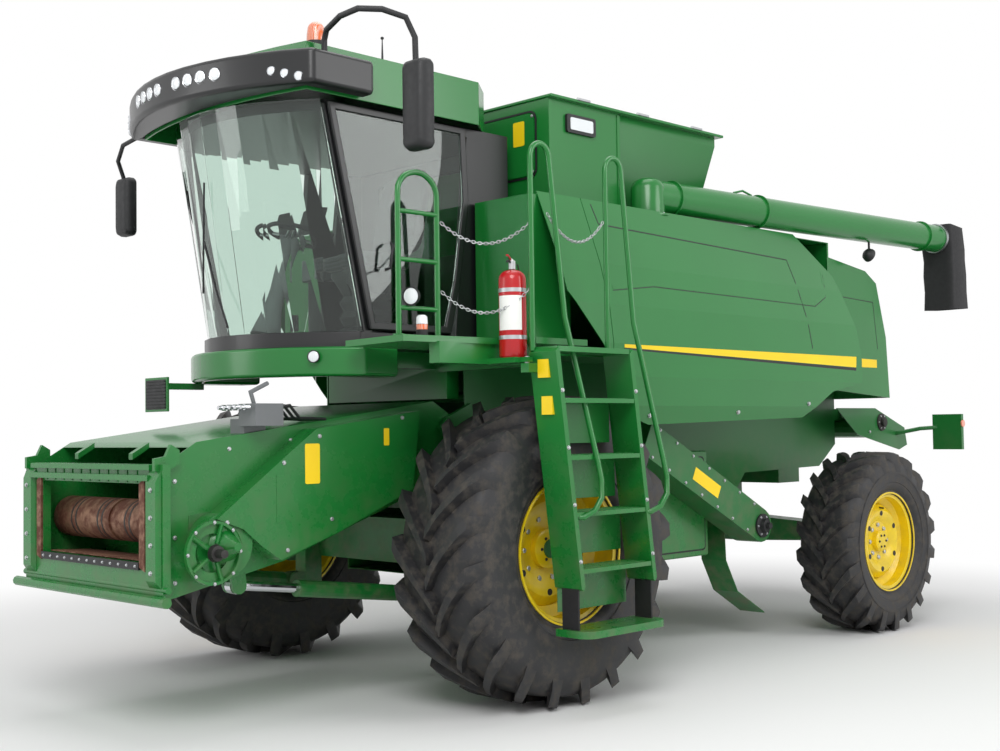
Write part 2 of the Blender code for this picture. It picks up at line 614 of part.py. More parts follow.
def elevator_leg():
    """Slanting elevator housing on the left side, with its round foot."""
    a, b = Vector((1.20, 1.52)), Vector((2.50, 0.86))
    way = (b - a).normalized()
    across = Vector((-way.y, way.x)) * 0.12
    outline = [a + across, a - across]
    for k in range(9):
        angle = math.pi * k / 8
        outline.append(b - across * math.cos(angle) + way * 0.12 * math.sin(angle))
    leg = prism([tuple(p) for p in outline], "x", 0.98, 1.20)
    foot = rod((CHASSIS_X + GAP, 2.30, 0.95), (0.985, 2.30, 0.95), 0.05, 10)
    head = box(CHASSIS_X + GAP, 0.985, 1.20, 1.32, 1.40, 1.56)
    node("elevator_leg", "green", [leg, foot, head])


def tool_box():
    """Boxed housing ahead of the elevator's foot."""
    node("side_box", "green", [box(CHASSIS_X + GAP, 0.97, 1.36, 2.16, 0.66, 1.41)])


def deflector():
    line = [(2.36, 0.98), (2.38, 0.60), (2.52, 0.36), (2.86, 0.17)]
    strap = strip(line, "x", 0.74, 0.96, 0.008)
    arm = box(CHASSIS_X + GAP, 0.76, 2.355, 2.44, 0.72, 0.80)
    node("chaff_deflector", "green", [strap, arm])


# ---------------------------------------------------------------- cab
NOSE_BOW = -1.28
HEAD_BOW = -1.44


def cab_frame():
    z0, z1 = CAB_FLOOR_Z, CAB_TOP_Z
    floor = arc(-CAB_X, CAB_X, CAB_FOOT_Y - 0.05, NOSE_BOW, 8) + [(CAB_X, CAB_REAR_Y), (-CAB_X, CAB_REAR_Y)]
    pieces = [prism(floor, "z", z0 - 0.09, z0)]
    top = arc(-CAB_X, CAB_X, CAB_HEAD_Y + 0.014, HEAD_BOW + 0.065, 8) + [(CAB_X, CAB_REAR_Y), (-CAB_X, CAB_REAR_Y)]
    pieces.append(prism(top, "z", z1 - 0.06, z1))
    for side in (1, -1):
        x0, x1 = sorted((side * (CAB_X - 0.05), side * CAB_X))
        pieces.append(prism([(CAB_FOOT_Y - 0.02, z0 - 0.02), (CAB_FOOT_Y + 0.05, z0 - 0.02),
                             (CAB_HEAD_Y + 0.06, z1 - 0.02), (CAB_HEAD_Y, z1 - 0.02)], "x", x0, x1))
        pieces.append(prism([(-0.10, z0 - 0.02), (CAB_REAR_Y, z0 - 0.02), (CAB_REAR_Y, z1 - 0.02), (0.02, z1 - 0.02)],
                            "x", x0, x1))
    back = box(-CAB_X + 0.02, CAB_X - 0.02, CAB_REAR_Y - 0.04, CAB_REAR_Y, z0 - 0.01, z1 - 0.01)
    pieces.append(back)
    window = box(-0.50, 0.50, CAB_REAR_Y - 0.2, CAB_REAR_Y + 0.2, 2.75, 3.30)
    node("cab_frame", "black", pieces, [window])


def cab_beams():
    """Beams from the body that carry the cab."""
    z = CAB_FLOOR_Z - 0.09 - GAP
    pieces = [box(-0.60, 0.60, BODY_FRONT_Y - 0.10, BODY_FRONT_Y - GAP, FLOOR_Z - 0.25, z)]
    for side in (1, -1):
        pieces.append(box(side * 0.45 - 0.05, side * 0.45 + 0.05, -0.95, BODY_FRONT_Y - 0.05, z - 0.10, z - 0.0001))
    return pieces


def bowed_sheet(low, high, x, thickness, count=10):
    """A bowed pane between two arcs: low and high are (z, y at the sides, y in the middle)."""
    vertices = []
    for z, y_side, y_middle in (low, high):
        for push in (0.0, thickness):
            vertices += [(px, py + push, z) for px, py in arc(-x, x, y_side, y_middle, count)]
    n = count + 1
    faces = []
    for k in range(count):
        faces.append((k, k + 1, 2 * n + k + 1, 2 * n + k))
        faces.append((n + k + 1, n + k, 3 * n + k, 3 * n + k + 1))
        faces.append((k + 1, k, n + k, n + k + 1))
        faces.append((2 * n + k, 2 * n + k + 1, 3 * n + k + 1, 3 * n + k))
    faces.append((0, 2 * n, 3 * n, n))
    faces.append((n - 1, 2 * n - 1, 4 * n - 1, 3 * n - 1))
    return mesh_of(vertices, faces)


def windscreen():
    x = CAB_X - 0.004
    low = (CAB_FLOOR_Z + GAP, CAB_FOOT_Y - 0.03 - GLASS_T, NOSE_BOW + 0.03)
    high = (CAB_TOP_Z - 0.002, CAB_HEAD_Y - 0.02 - GLASS_T, HEAD_BOW)
    node("windscreen", "glass", [bowed_sheet(low, high, x, GLASS_T)])


def cab_nose():
    """Green band under the windscreen."""
    z0, z1 = CAB_FLOOR_Z - 0.26, CAB_FLOOR_Z - 0.09 - GAP
    outer = arc(-0.86, 0.86, CAB_FOOT_Y - 0.10, NOSE_BOW - 0.06, 10)
    inner = arc(-0.80, 0.80, CAB_FOOT_Y - 0.05, NOSE_BOW + 0.02, 10)
    band = prism(outer + [(0.80, CAB_FOOT_Y + 0.20), (0.60, CAB_FOOT_Y + 0.20)] + list(reversed(inner))[1:-1]
                 + [(-0.60, CAB_FOOT_Y + 0.20), (-0.80, CAB_FOOT_Y + 0.20)], "z", z0, z1)
    node("cab_nose", "green", [band])


def door_outline(inset):
    z0, z1 = CAB_FLOOR_Z + 0.01 + inset, CAB_TOP_Z - 0.01 - inset
    def front(z):
        return CAB_FOOT_Y + (CAB_HEAD_Y - CAB_FOOT_Y) * (z - CAB_FLOOR_Z) / (CAB_TOP_Z - CAB_FLOOR_Z) + 0.01 + inset
    return [(front(z0), z0), (front(z1), z1), (-0.02 - inset, z1), (0.0 - inset, 3.0), (-0.08 - inset, 2.5), (-0.16 - inset, z0)]


def cab_door():
    """Door on the machine's left, hinged along the slanting front pillar."""
    x0 = CAB_X + GAP
    foot = (DOOR_X, CAB_FOOT_Y, CAB_FLOOR_Z)
    ring = prism(door_outline(0.0), "x", x0, x0 + 0.030)
    hole = prism(door_outline(0.045), "x", x0 - 0.1, x0 + 0.1)
    node("cab_door", "black", [ring], [hole], origin=foot)
    pane = prism(door_outline(0.0453), "x", x0 + 0.012, x0 + 0.012 + GLASS_T)
    node("cab_door_glass", "glass", [pane], origin=foot)


def cab_window_right():
    pane = prism(door_outline(0.0), "x", -CAB_X - GAP - GLASS_T, -CAB_X - GAP)
    node("cab_window_right", "glass", [pane])


def cab_window_rear():
    node("cab_window_rear", "glass", [box(-0.4997, 0.4997, CAB_REAR_Y - 0.03, CAB_REAR_Y - 0.03 + GLASS_T, 2.7503, 3.2997)])


def roof_front():
    return arc(-0.86, 0.86, -1.30, -1.42, 8)


def cab_roof():
    z0, z1 = CAB_TOP_Z + GAP, 3.74
    outer = roof_front() + [(0.86, 0.02), (0.70, 0.22), (-0.70, 0.22), (-0.86, 0.02)]
    inner = [(x * 0.99, y + (0.008 if y < -1 else -0.008)) for x, y in outer]
    node("cab_roof", "green", [prism(outer, "z", z0, z1)], [prism(inner, "z", z0 - 0.1, z1 - 0.006)])


def light_visor():
    """Black lamp visor wrapped around the roof's front."""
    outer = arc(-0.97, 0.97, -1.34, -1.66, 12)
    inner = [(x * 1.0005, y - GAP) for x, y in roof_front()]
    side = inner[-1][0]
    band = prism(outer + [(0.97, -0.90), (side, -0.90)] + list(reversed(inner)) + [(-side, -0.90), (-0.97, -0.90)],
                 "z", 3.48, 3.68)
    node("light_visor", "black", [band])


def seat():
    cushion = box(-0.25, 0.25, -0.42, 0.05, 2.62, 2.74)
    back = prism([(0.00, 2.72), (0.10, 2.72), (0.20, 3.30), (0.12, 3.32)], "x", -0.24, 0.24)
    base = box(-0.18, 0.18, -0.36, 0.0, CAB_FLOOR_Z + GAP, 2.63)
    node("operator_seat", "grey", [cushion, back, base])


def steering_column():
    foot, top = (0.0, -0.98, CAB_FLOOR_Z + 0.02), (0.0, -0.78, 2.80)
    column = rod(foot, top, 0.05, 10)
    plate = box(-0.10, 0.10, -1.06, -0.88, CAB_FLOOR_Z + GAP, CAB_FLOOR_Z + 0.03)
    way = (Vector(top) - Vector(foot)).normalized()
    wheel_mesh = turned([(0.0, 0.0), (0.0, 0.15), (-0.012, 0.165), (0.0, 0.20), (0.024, 0.20), (0.024, 0.165), (0.020, 0.0)],
                        16, "z")
    turn = Vector((0.0, 0.0, 1.0)).rotation_difference(way).to_matrix().to_4x4()
    centre = Vector(top) - way * 0.010
    wheel_mesh.transform(Matrix.Translation(centre) @ turn)
    node("steering_column", "grey", [column, plate, wheel_mesh])


# ---------------------------------------------------------------- feeder house
FEEDER_LINE = [(-2.10, 0.73), (-2.10, 1.42), (-1.90, 1.54), (-0.24, 1.76), (-0.10, 1.68), (-0.08, 1.52), (-0.30, 1.24),
               (-1.35, 0.88)]


def feeder_house():
    x, t = FEEDER_X, 0.006
    tube = prism(FEEDER_LINE, "x", -x, x)
    throat = prism([(-2.3, 0.76), (-2.3, 1.40), (-1.89, 1.53), (-0.24, 1.74), (-0.11, 1.67), (0.10, 1.60), (0.02, 1.40),
                    (-0.28, 1.26), (-1.35, 0.90), (-2.06, 0.76)], "x", -x + t, x - t)
    face = box(-FEEDER_FACE_X, FEEDER_FACE_X, FEEDER_FRONT_Y, -2.095, 0.73, 1.43)
    bar = rod((-0.83, -2.16, 0.74), (0.83, -2.16, 0.74), 0.028, 10)
    lugs = []
    for side in (1, -1):
        for off in (-0.043, 0.043):
            lugs.append(prism(lug_outline(CYL_EYE, (CYL_EYE[0] - 0.02, 0.92), 0.045), "x",
                              side * CYL_X + off - 0.010, side * CYL_X + off + 0.010))
        lugs.append(pin(side * CYL_X - 0.045, side * CYL_X + 0.045, CYL_EYE, PIN_R))
    mouth = box(-MOUTH_X, MOUTH_X, -2.3, -2.05, MOUTH_LOW, MOUTH_HIGH)
    shaft_hole = [pin(-1.0, 1.0, FEEDER_PIVOT, bored(0.030, 24), 24)]
    drum_hole = [pin(-1.0, 1.0, (DRUM_Y, DRUM_Z), bored(0.030))]
    node("feeder_house", "green", [tube], [throat, *shaft_hole, *drum_hole], origin=(0.0, *FEEDER_PIVOT))
    solid = bpy.data.objects["feeder_house"]
    extras = [("UNION", face), *[("UNION", lug) for lug in lugs], ("UNION", bar), ("DIFFERENCE", mouth)]
    for i, (operation, piece) in enumerate(extras):
        guide = place(f"guide_feeder_extra{i}", piece, (0.0, *FEEDER_PIVOT), visible=False)
        step = solid.modifiers.new(f"extra_{i}", "BOOLEAN")
        step.operation = operation
        step.solver = "EXACT"
        step.object = guide


def feeder_drum():
    x = FEEDER_X - 0.006 - RUNNING_GAP
    profile = [(-FEEDER_X + GAP, 0.0), (-FEEDER_X + GAP, 0.030), (-x, 0.030), (-x, DRUM_R), (x, DRUM_R), (x, 0.030),
               (FEEDER_X - GAP, 0.030), (FEEDER_X - GAP, 0.0)]
    node("feeder_drum", "brown", [turned(profile, 12, "x", (0.0, DRUM_Y, DRUM_Z))], origin=(0.0, DRUM_Y, DRUM_Z))


def feeder_shield():
    outline = [(-1.86, 1.14), (-1.42, 1.46), (-1.22, 1.60), (-0.46, 1.70), (-0.52, 1.24), (-1.06, 1.03), (-1.46, 0.90),
               (-1.58, 0.98), (-1.70, 1.08)]
    hollow = [(-1.80, 1.13), (-1.42, 1.44), (-1.22, 1.58), (-0.48, 1.68), (-0.54, 1.26), (-1.06, 1.05), (-1.46, 0.92),
              (-1.57, 1.00), (-1.68, 1.10)]
    solid = prism(outline, "x", FEEDER_X + GAP, 0.82)
    node("feeder_shield", "green", [solid, feeder_drive()], [prism(hollow, "x", FEEDER_X - 0.1, 0.815)])


def feeder_drive():
    """Round guard over the drive at the front of the feeder house."""
    profile = [(FEEDER_X + GAP * 2, 0.0), (FEEDER_X + GAP * 2, 0.17), (0.80, 0.17), (0.80, 0.10), (0.84, 0.06), (0.92, 0.022), (0.92, 0.0)]
    return turned(profile, 20, "x", (0.0, -1.80, 1.00))


def feeder_top(y):
    (y0, z0), (y1, z1) = FEEDER_LINE[2], FEEDER_LINE[3]
    return z0 + (z1 - z0) * (y - y0) / (y1 - y0)


def multicoupler():
    block = box(0.66, 0.82, -1.62, -1.44, 1.62, 1.74)
    foot = prism([(-1.60, feeder_top(-1.60) + GAP), (-1.46, feeder_top(-1.46) + GAP), (-1.46, 1.66), (-1.60, 1.66)], "x",
                 0.55, 0.68)
    lever = sweep([(0.78, -1.60, 1.73), (0.79, -1.63, 1.80), (0.79, -1.52, 1.85)], 0.012, 6)
    node("multicoupler", "grey", [block, foot, lever])


def lift_cylinders():
    base, eye = Vector(CYL_BASE), Vector(CYL_EYE)
    way = (eye - base).normalized()
    for side, end in ((1, "left"), (-1, "right")):
        x = side * CYL_X
        gland = base + way * BARREL_LENGTH
        barrel = rod((x, *(base + way * 0.075)), (x, *gland), BARREL_R, 14)
        ear = prism(lug_outline(base, base + way * 0.10, 0.042), "x", x - 0.027, x + 0.027)
        pin_hole = pin(x - 0.2, x + 0.2, base, bored(PIN_R))
        bore = rod((x, *(base + way * 0.11)), (x, *(gland + way * 0.1)), ROD_R + GAP * 2, 12)
        node(f"lift_barrel_{end}", "green", [barrel, ear], [pin_hole, bore], origin=(x, *base))
        shaft = rod((x, *(base + way * 0.56)), (x, *(eye - way * 0.03)), ROD_R, 12)
        knob = pin(x - 0.027, x + 0.027, eye, 0.046, 14)
        hole = pin(x - 0.2, x + 0.2, eye, PIN_R + EYE_PLAY)
        node(f"lift_rod_{end}", "steel", [shaft, knob], [hole], origin=(x, *eye))


# ---------------------------------------------------------------- platform, ladder and rails
def platform():
    """Deck beside the cab on its beams, with the ladder's hinge plate and the cab's carriers."""
    rear = BODY_FRONT_Y - GAP
    deck = [(0.88, -1.06), (1.44, -1.12), (1.50, -0.60), (1.50, -0.37), (LADDER_X - 0.012, -0.37), (LADDER_X - 0.012, rear),
            (0.88, rear)]
    pieces = [prism(deck, "z", PLATFORM_Z - 0.035, PLATFORM_Z)]
    pieces.append(box(1.40, 1.48, -0.90, rear - 0.001, SHELF_Z - 0.03, PLATFORM_Z - 0.03))
    pieces.append(box(0.55, 1.47, -0.06, -0.0003, FLOOR_Z - 0.08, PLATFORM_Z - 0.034))
    pieces.append(box(1.41, LADDER_X - 0.012, -0.54, -0.385, SHELF_Z - 0.029, SHELF_Z))
    hx, hy = LADDER_HINGE
    pieces.append(box(LADDER_X - 0.04, hx + 0.022, hy - 0.022, hy + 0.022, SHELF_Z - 0.028, SHELF_Z - 0.001))
    bore = turned([(SHELF_Z - 0.2, 0.0), (SHELF_Z - 0.2, bored(HINGE_R)), (SHELF_Z + 0.05, bored(HINGE_R)),
                   (SHELF_Z + 0.05, 0.0)], 12, "z", (*LADDER_HINGE, 0.0))
    node("platform", "green", cab_beams() + pieces, [bore])


def front_rail():
    """Hooped rail with rungs at the platform's front corner."""
    x, y0, y1, top = 1.36, -1.08, -0.80, 2.86
    loop = [(x, y0, PLATFORM_Z + GAP)] + hoop((x, y0, top), (x, y1, top), 0.12) + [(x, y1, PLATFORM_Z + GAP)]
    pieces = [sweep(loop, 0.016, 8)]
    for z in (2.24, 2.50, 2.76):
        pieces.append(rod((x, y0, z), (x, y1, z), 0.013, 6))
    node("platform_rail", "green", pieces)


def ladder():
    """Swinging ladder: two slanting side plates, steps between them, and a closed back."""
    top, foot = Vector((-0.44, 2.03)), Vector((-0.26, 0.70))
    width = 0.62
    x0, x1 = LADDER_X, LADDER_X + 0.20
    pieces = []
    for along in (0.0, width):
        outline = [(top.x + along, top.y), (top.x + along + 0.03, top.y), (foot.x + along + 0.03, foot.y), (foot.x + along, foot.y)]
        pieces.append(prism(outline, "x", x0, x1))
    for k in range(4):
        z = 1.75 - 0.31 * k
        y = top.x + (foot.x - top.x) * (top.y - z) / (top.y - foot.y)
        pieces.append(box(x0 + 0.001, x1 - 0.001, y + 0.01, y + width + 0.01, z - 0.03, z))
    pieces.append(box(x0 + 0.002, x1 - 0.002, top.x + 0.01, top.x + width + 0.01, 2.00, 2.0295))
    pieces.append(box(x0 + 0.02, x1 + 0.06, foot.x - 0.02, foot.x + width + 0.06, 0.445, 0.485))
    pieces += [box(x0 + 0.05, x0 + 0.17, foot.x + a, foot.x + a + 0.012, 0.47, 0.72) for a in (0.009, width + 0.009)]
    low = SHELF_Z - 0.029 - RUNNING_GAP
    pieces.append(box(LADDER_X, LADDER_X + 0.06, LADDER_HINGE[1] - 0.03, top.x + 0.02, low - 0.05, low))
    pieces.append(turned([(low - 0.02, 0.0), (low - 0.02, HINGE_R), (SHELF_Z + 0.004, HINGE_R), (SHELF_Z + 0.004, 0.0)], 12, "z",
                         (*LADDER_HINGE, 0.0)))
    node("ladder", "green", pieces + handrails(), origin=(*LADDER_HINGE, SHELF_Z))


def handrails():
    """Two hooped rails that swing with the ladder."""
    rails = []
    for y0, y1, low in ((-0.43, -0.30, -0.12), (0.20, 0.32, 0.46)):
        inner = (LADDER_X + 0.02, y0)
        loop = [(*inner, 2.01), (*inner, 3.05)] + hoop((*inner, 3.08), (LADDER_X + 0.04, y1, 3.08), 0.08, 6)
        loop += [(LADDER_X + 0.06, (y1 + low) / 2, 2.2), (1.93, low, 1.30), (1.93, low - 0.06, 1.12), (1.88, low - 0.14, 1.10)]
        rails.append(sweep(loop, 0.016, 8))
    return rails


def extinguisher():
    x, y, z = 1.60, -0.46, SHELF_Z + GAP
    profile = [(z, 0.0), (z, 0.07), (z + 0.01, 0.078), (z + 0.44, 0.078), (z + 0.49, 0.04), (z + 0.51, 0.02), (z + 0.58, 0.02),
               (z + 0.58, 0.0)]
    node("fire_extinguisher", "red", [turned(profile, 16, "z", (x, y, 0.0))])


# ---------------------------------------------------------------- unloading auger
def unloading_auger():
    x, y, z = AUGER_X, AUGER_Y, AUGER_Z
    foot = DECK_Z + GAP
    riser = turned([(foot, 0.0), (foot, 0.116), (z + 0.10, 0.116), (z + 0.118, 0.09), (z + 0.118, 0.0)], 16, "z", (x, y, 0.0))
    tube = rod((x, y, z), (x + AUGER_SPLAY, AUGER_END_Y, z), AUGER_R, 16)
    node("unloading_auger", "green", [riser, tube], origin=(x, y, DECK_Z))
    end = Vector((x + AUGER_SPLAY, AUGER_END_Y, z))
    start = end.y - 0.05
    outline = [(start, z + 0.12), (start + 0.22, z + 0.08), (start + 0.27, z - 0.16), (start + 0.30, z - 0.60),
               (start + 0.02, z - 0.62), (start + 0.02, z - 0.16), (start, z - 0.12)]
    hollow = [(start + 0.064, z + 0.10), (start + 0.20, z + 0.06), (start + 0.25, z - 0.16), (start + 0.28, z - 0.70),
              (start + 0.04, z - 0.70), (start + 0.04, z - 0.14), (start + 0.064, z - 0.10)]
    way = (end - Vector((x, y, z))).normalized()
    collar = rod(end - way * 0.3, end + way * 0.05, AUGER_R + GAP * 2, 16)
    node("auger_spout", "rubber", [prism(outline, "x", end.x - 0.14, end.x + 0.14)],
         [prism(hollow, "x", end.x - 0.125, end.x + 0.125), collar], origin=(x, y, DECK_Z))


# ---------------------------------------------------------------- mirrors, lamps and boards
def mirrors():
    left = sweep([(0.92, -1.22, 3.6803), (0.92, -1.22, 3.76), (1.30, -1.34, 3.80), (1.46, -1.14, 3.78), (1.50, -1.05, 3.50)], 0.016, 8)
    shell = box(1.43, 1.60, -1.12, -1.02, 3.06, 3.54)
    node("mirror_left", "black", [left, shell])
    right = sweep([(-0.97 - GAP, -1.20, 3.56), (-1.02, -1.20, 3.56), (-1.30, -1.22, 3.50), (-1.46, -1.16, 3.40), (-1.47, -1.10, 3.30)], 0.014, 8)
    shell_right = box(-1.56, -1.40, -1.14, -1.05, 2.94, 3.34)
    node("mirror_right", "black", [right, shell_right])


def beacon():
    x, y, z = 0.62, -1.05, 3.7403
    profile = [(z, 0.0), (z, 0.05), (z + 0.06, 0.05), (z + 0.06, 0.065), (z + 0.17, 0.062), (z + 0.21, 0.03), (z + 0.21, 0.0)]
    node("beacon", "orange", [turned(profile, 16, "z", (x, y, 0.0))])


def marker_board():
    board = box(-0.66, -0.40, -1.42, -1.405, 1.72, 1.93)
    top = CAB_FLOOR_Z - 0.26 - GAP
    arm = box(-0.60, -0.56, -1.41, -1.06, top - 0.04, top)
    node("marker_board", "green", [board, arm])


def light_boards():
    """Boards for the rear lamps, on arms from the chopper's side plates."""
    pieces = []
    for side in (1, -1):
        pieces.append(sweep([(side * 0.945, 4.95, 1.50), (side * 1.15, 5.00, 1.54), (side * 1.30, 5.05, 1.55)], 0.018, 8))
        pieces.append(box(side * 1.38 - 0.13, side * 1.38 + 0.13, 5.03, 5.07, 1.36, 1.66))
    return pieces


# ---------------------------------------------------------------- the whole machine
def build():
    global MACHINE
    for old in list(bpy.data.objects):
        bpy.data.objects.remove(old, do_unlink=True)
    MACHINE = bpy.data.objects.new("machine", None)
    bpy.context.scene.collection.objects.link(MACHINE)
    for name, (colour, roughness, metallic) in COLOURS.items():
        MATERIALS[name] = material(name, colour, roughness, metallic)
    wheels()
    front_axle()
    rear_axle()
    for side, end in ((1, "left"), (-1, "right")):
        knuckle(side, f"knuckle_{end}")
    tie_rod()
    chassis()
    upper_body()
    grain_tank()
    tank_lids()
    engine()
    for side, end in ((1, "left"), (-1, "right")):
        side_panel(side, f"side_panel_{end}", PANEL_OUTLINE)
        side_panel(side, f"side_skirt_{end}", SKIRT_OUTLINE)
    rear_hood()
    chopper()
    elevator_leg()
    tool_box()
    deflector()
    cab_frame()
    cab_nose()
    windscreen()
    cab_door()
    cab_window_right()
    cab_window_rear()
    cab_roof()
    light_visor()
    seat()
    steering_column()
    feeder_house()
    feeder_drum()
    feeder_shield()
    multicoupler()
    lift_cylinders()
    platform()
    front_rail()
    ladder()
    extinguisher()
    unloading_auger()
    mirrors()
    beacon()
    marker_board()
    centre_machine()


def centre_machine():
    """Moves the machine so that the origin is the bottom centre of its box."""
    bpy.context.view_layer.update()
    graph = bpy.context.evaluated_depsgraph_get()
    corners = []
    for thing in bpy.context.scene.objects:
        if thing.type != "MESH" or thing.hide_render:
            continue
        shape = thing.evaluated_get(graph)
        corners += [shape.matrix_world @ v.co for v in shape.data.vertices]
    low = [min(c[i] for c in corners) for i in range(3)]
    high = [max(c[i] for c in corners) for i in range(3)]
    MACHINE.location = (-(low[0] + high[0]) / 2, -(low[1] + high[1]) / 2, -low[2])
    bpy.context.view_layer.update()
    print("machine moved by", tuple(round(v, 6) for v in MACHINE.location))
    print("box", [round(v, 4) for v in low], [round(v, 4) for v in high])


build()
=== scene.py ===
"""Looks of a combine harvester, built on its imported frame.

Every place is written in machine coordinates: x to the machine's left, y rearward from the front axle,
z up from the ground, in metres. Shape moves what it makes into the frame.
"""
import json
import math

import bmesh
import bpy
from mathutils import Matrix, Vector
from mathutils.bvhtree import BVHTree


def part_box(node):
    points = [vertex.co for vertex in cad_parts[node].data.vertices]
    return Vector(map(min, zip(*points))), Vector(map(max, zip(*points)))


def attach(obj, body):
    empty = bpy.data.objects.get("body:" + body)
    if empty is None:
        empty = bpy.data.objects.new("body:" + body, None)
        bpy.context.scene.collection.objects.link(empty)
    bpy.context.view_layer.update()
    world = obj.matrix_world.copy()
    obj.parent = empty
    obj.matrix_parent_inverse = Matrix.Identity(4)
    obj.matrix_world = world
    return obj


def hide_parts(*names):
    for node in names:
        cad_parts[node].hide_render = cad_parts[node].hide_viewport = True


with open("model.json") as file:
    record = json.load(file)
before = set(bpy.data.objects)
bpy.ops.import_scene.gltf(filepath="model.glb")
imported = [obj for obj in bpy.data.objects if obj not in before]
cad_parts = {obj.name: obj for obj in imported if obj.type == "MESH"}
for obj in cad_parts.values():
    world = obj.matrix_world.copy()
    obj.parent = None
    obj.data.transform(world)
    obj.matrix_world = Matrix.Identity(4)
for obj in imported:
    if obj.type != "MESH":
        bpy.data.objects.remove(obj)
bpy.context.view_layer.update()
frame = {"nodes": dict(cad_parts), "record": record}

SIDES = ((1, "left"), (-1, "right"))
LEFT, FRONT, UP = (1, 0, 0), (0, -1, 0), (0, 0, 1)
GROUND_GAP = 0.0015  # the flattened tread stands this far above the floor


# ---------------------------------------------------------------- machine coordinates
def middle(node):
    """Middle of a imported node's box, in the frame."""
    low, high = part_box(node)
    return (Vector(low) + Vector(high)) / 2


SHIFT = (middle("tyre_front_left") + middle("tyre_front_right")) / 2
SHIFT.z = 0.0


def at(x, y, z):
    """A machine point, in the frame."""
    return Vector((x, y, z)) + SHIFT


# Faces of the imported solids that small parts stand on, each a fraction of a millimetre proud.
DECK, ROOF_TOP, TANK_SIDE = 2.0905, 3.7405, 1.0005
HOUSE_SIDE, SHIELD_FACE = 0.6905, 0.8205
BOX_FACE, LEG_FACE, BOARD_FACE = 0.9702, 1.2005, 5.0705


# ---------------------------------------------------------------- materials
MM = 0.001


def colour(code):
    """Linear colour of an sRGB hex code."""
    parts = [int(code[i:i + 2], 16) / 255 for i in (0, 2, 4)]
    return (*[p / 12.92 if p <= 0.04045 else ((p + 0.055) / 1.055) ** 2.4 for p in parts], 1.0)


def feed(node, inputs):
    """Sets a node's inputs; each is a value or the socket that feeds it."""
    for key, value in inputs.items():
        if isinstance(value, bpy.types.NodeSocket):
            node.id_data.links.new(value, node.inputs[key])
        else:
            node.inputs[key].default_value = value


def add(tree, kind, inputs=None, **settings):
    """Adds a node with its settings and its inputs."""
    made = tree.nodes.new(kind)
    for key, value in settings.items():
        setattr(made, key, value)
    feed(made, inputs or {})
    return made


def start(name):
    """An empty material with its node tree, its shader and the object's own coordinates."""
    made = bpy.data.materials.new(name)
    made.use_nodes = True
    tree = made.node_tree
    tree.nodes.clear()
    shader = add(tree, "ShaderNodeBsdfPrincipled")
    add(tree, "ShaderNodeOutputMaterial", {"Surface": shader.outputs["BSDF"]})
    place = add(tree, "ShaderNodeTexCoord").outputs["Object"]
    return made, tree, shader, place


def cloud(tree, place, size, detail=3.0, rough=0.5):
    """Noise whose patches are about size metres across."""
    return add(tree, "ShaderNodeTexNoise", {"Vector": place, "Scale": 1.0 / size, "Detail": detail,
                                            "Roughness": rough}).outputs["Fac"]


def span(tree, value, low, high, to_low, to_high):
    """Carries a value from one range over to another."""
    return add(tree, "ShaderNodeMapRange", {"Value": value, "From Min": low, "From Max": high,
                                            "To Min": to_low, "To Max": to_high}).outputs["Result"]


def calculate(tree, operation, *values):
    """One step of arithmetic on sockets or numbers."""
    return add(tree, "ShaderNodeMath", dict(enumerate(values)), operation=operation).outputs["Value"]


def blend(tree, factor, first, second):
    """A mix of two colours."""
    return add(tree, "ShaderNodeMix", {"Factor": factor, "A": first, "B": second},
               data_type="RGBA").outputs["Result"]


def rise(tree, shader, height, depth, strength=0.4):
    """Relief of the given depth in metres on the shader's surface."""
    bump = add(tree, "ShaderNodeBump", {"Height": height, "Distance": depth, "Strength": strength})
    feed(shader, {"Normal": bump.outputs["Normal"]})


def enamel(name, base, dust, roughness=0.26, dusty=0.5):
    """Sprayed enamel: even colour, faint orange peel, and field dust that thins out up to 1.6 m."""
    made, tree, shader, place = start(name)
    height = add(tree, "ShaderNodeSeparateXYZ", {"Vector": place}).outputs["Z"]
    low = span(tree, height, 0.3, 1.6, dusty, 0.0)
    patches = span(tree, cloud(tree, place, 120 * MM, 5.0, 0.6), 0.42, 0.68, 0.0, 1.0)
    film = calculate(tree, "MULTIPLY", low, patches)
    shade = blend(tree, cloud(tree, place, 700 * MM, 2.0), colour(base[0]), colour(base[1]))
    feed(shader, {"Base Color": blend(tree, film, shade, colour(dust)),
                  "Roughness": span(tree, film, 0.0, 1.0, roughness, 0.7),
                  "Coat Weight": 0.15, "Coat Roughness": 0.12})
    rise(tree, shader, cloud(tree, place, 4 * MM, 1.0), 0.05 * MM, 0.25)
    return made


def moulded(name, code, roughness=0.55, grain=2.0, depth=0.08):
    """Moulded plastic or powder coat: a fine, even, dull grain."""
    made, tree, shader, place = start(name)
    shade = cloud(tree, place, 300 * MM, 3.0)
    paler = [c * 1.25 for c in colour(code)[:3]] + [1.0]
    dull = span(tree, cloud(tree, place, 30 * MM), 0.3, 0.7, roughness - 0.06, roughness + 0.06)
    feed(shader, {"Base Color": blend(tree, shade, colour(code), paler), "Roughness": dull})
    rise(tree, shader, cloud(tree, place, grain * MM, 2.0), depth * MM, 0.4)
    return made


def tyre_rubber():
    """Vulcanised tread rubber: near black and dull, with dry soil dust in its low places."""
    made, tree, shader, place = start("tyre_rubber")
    soil = span(tree, cloud(tree, place, 70 * MM, 6.0, 0.65), 0.46, 0.72, 0.0, 0.75)
    feed(shader, {"Base Color": blend(tree, soil, colour("242426"), colour("5A544C")),
                  "Roughness": span(tree, soil, 0.0, 0.7, 0.55, 0.9)})
    rise(tree, shader, cloud(tree, place, 5 * MM, 4.0), 0.4 * MM, 0.6)
    return made


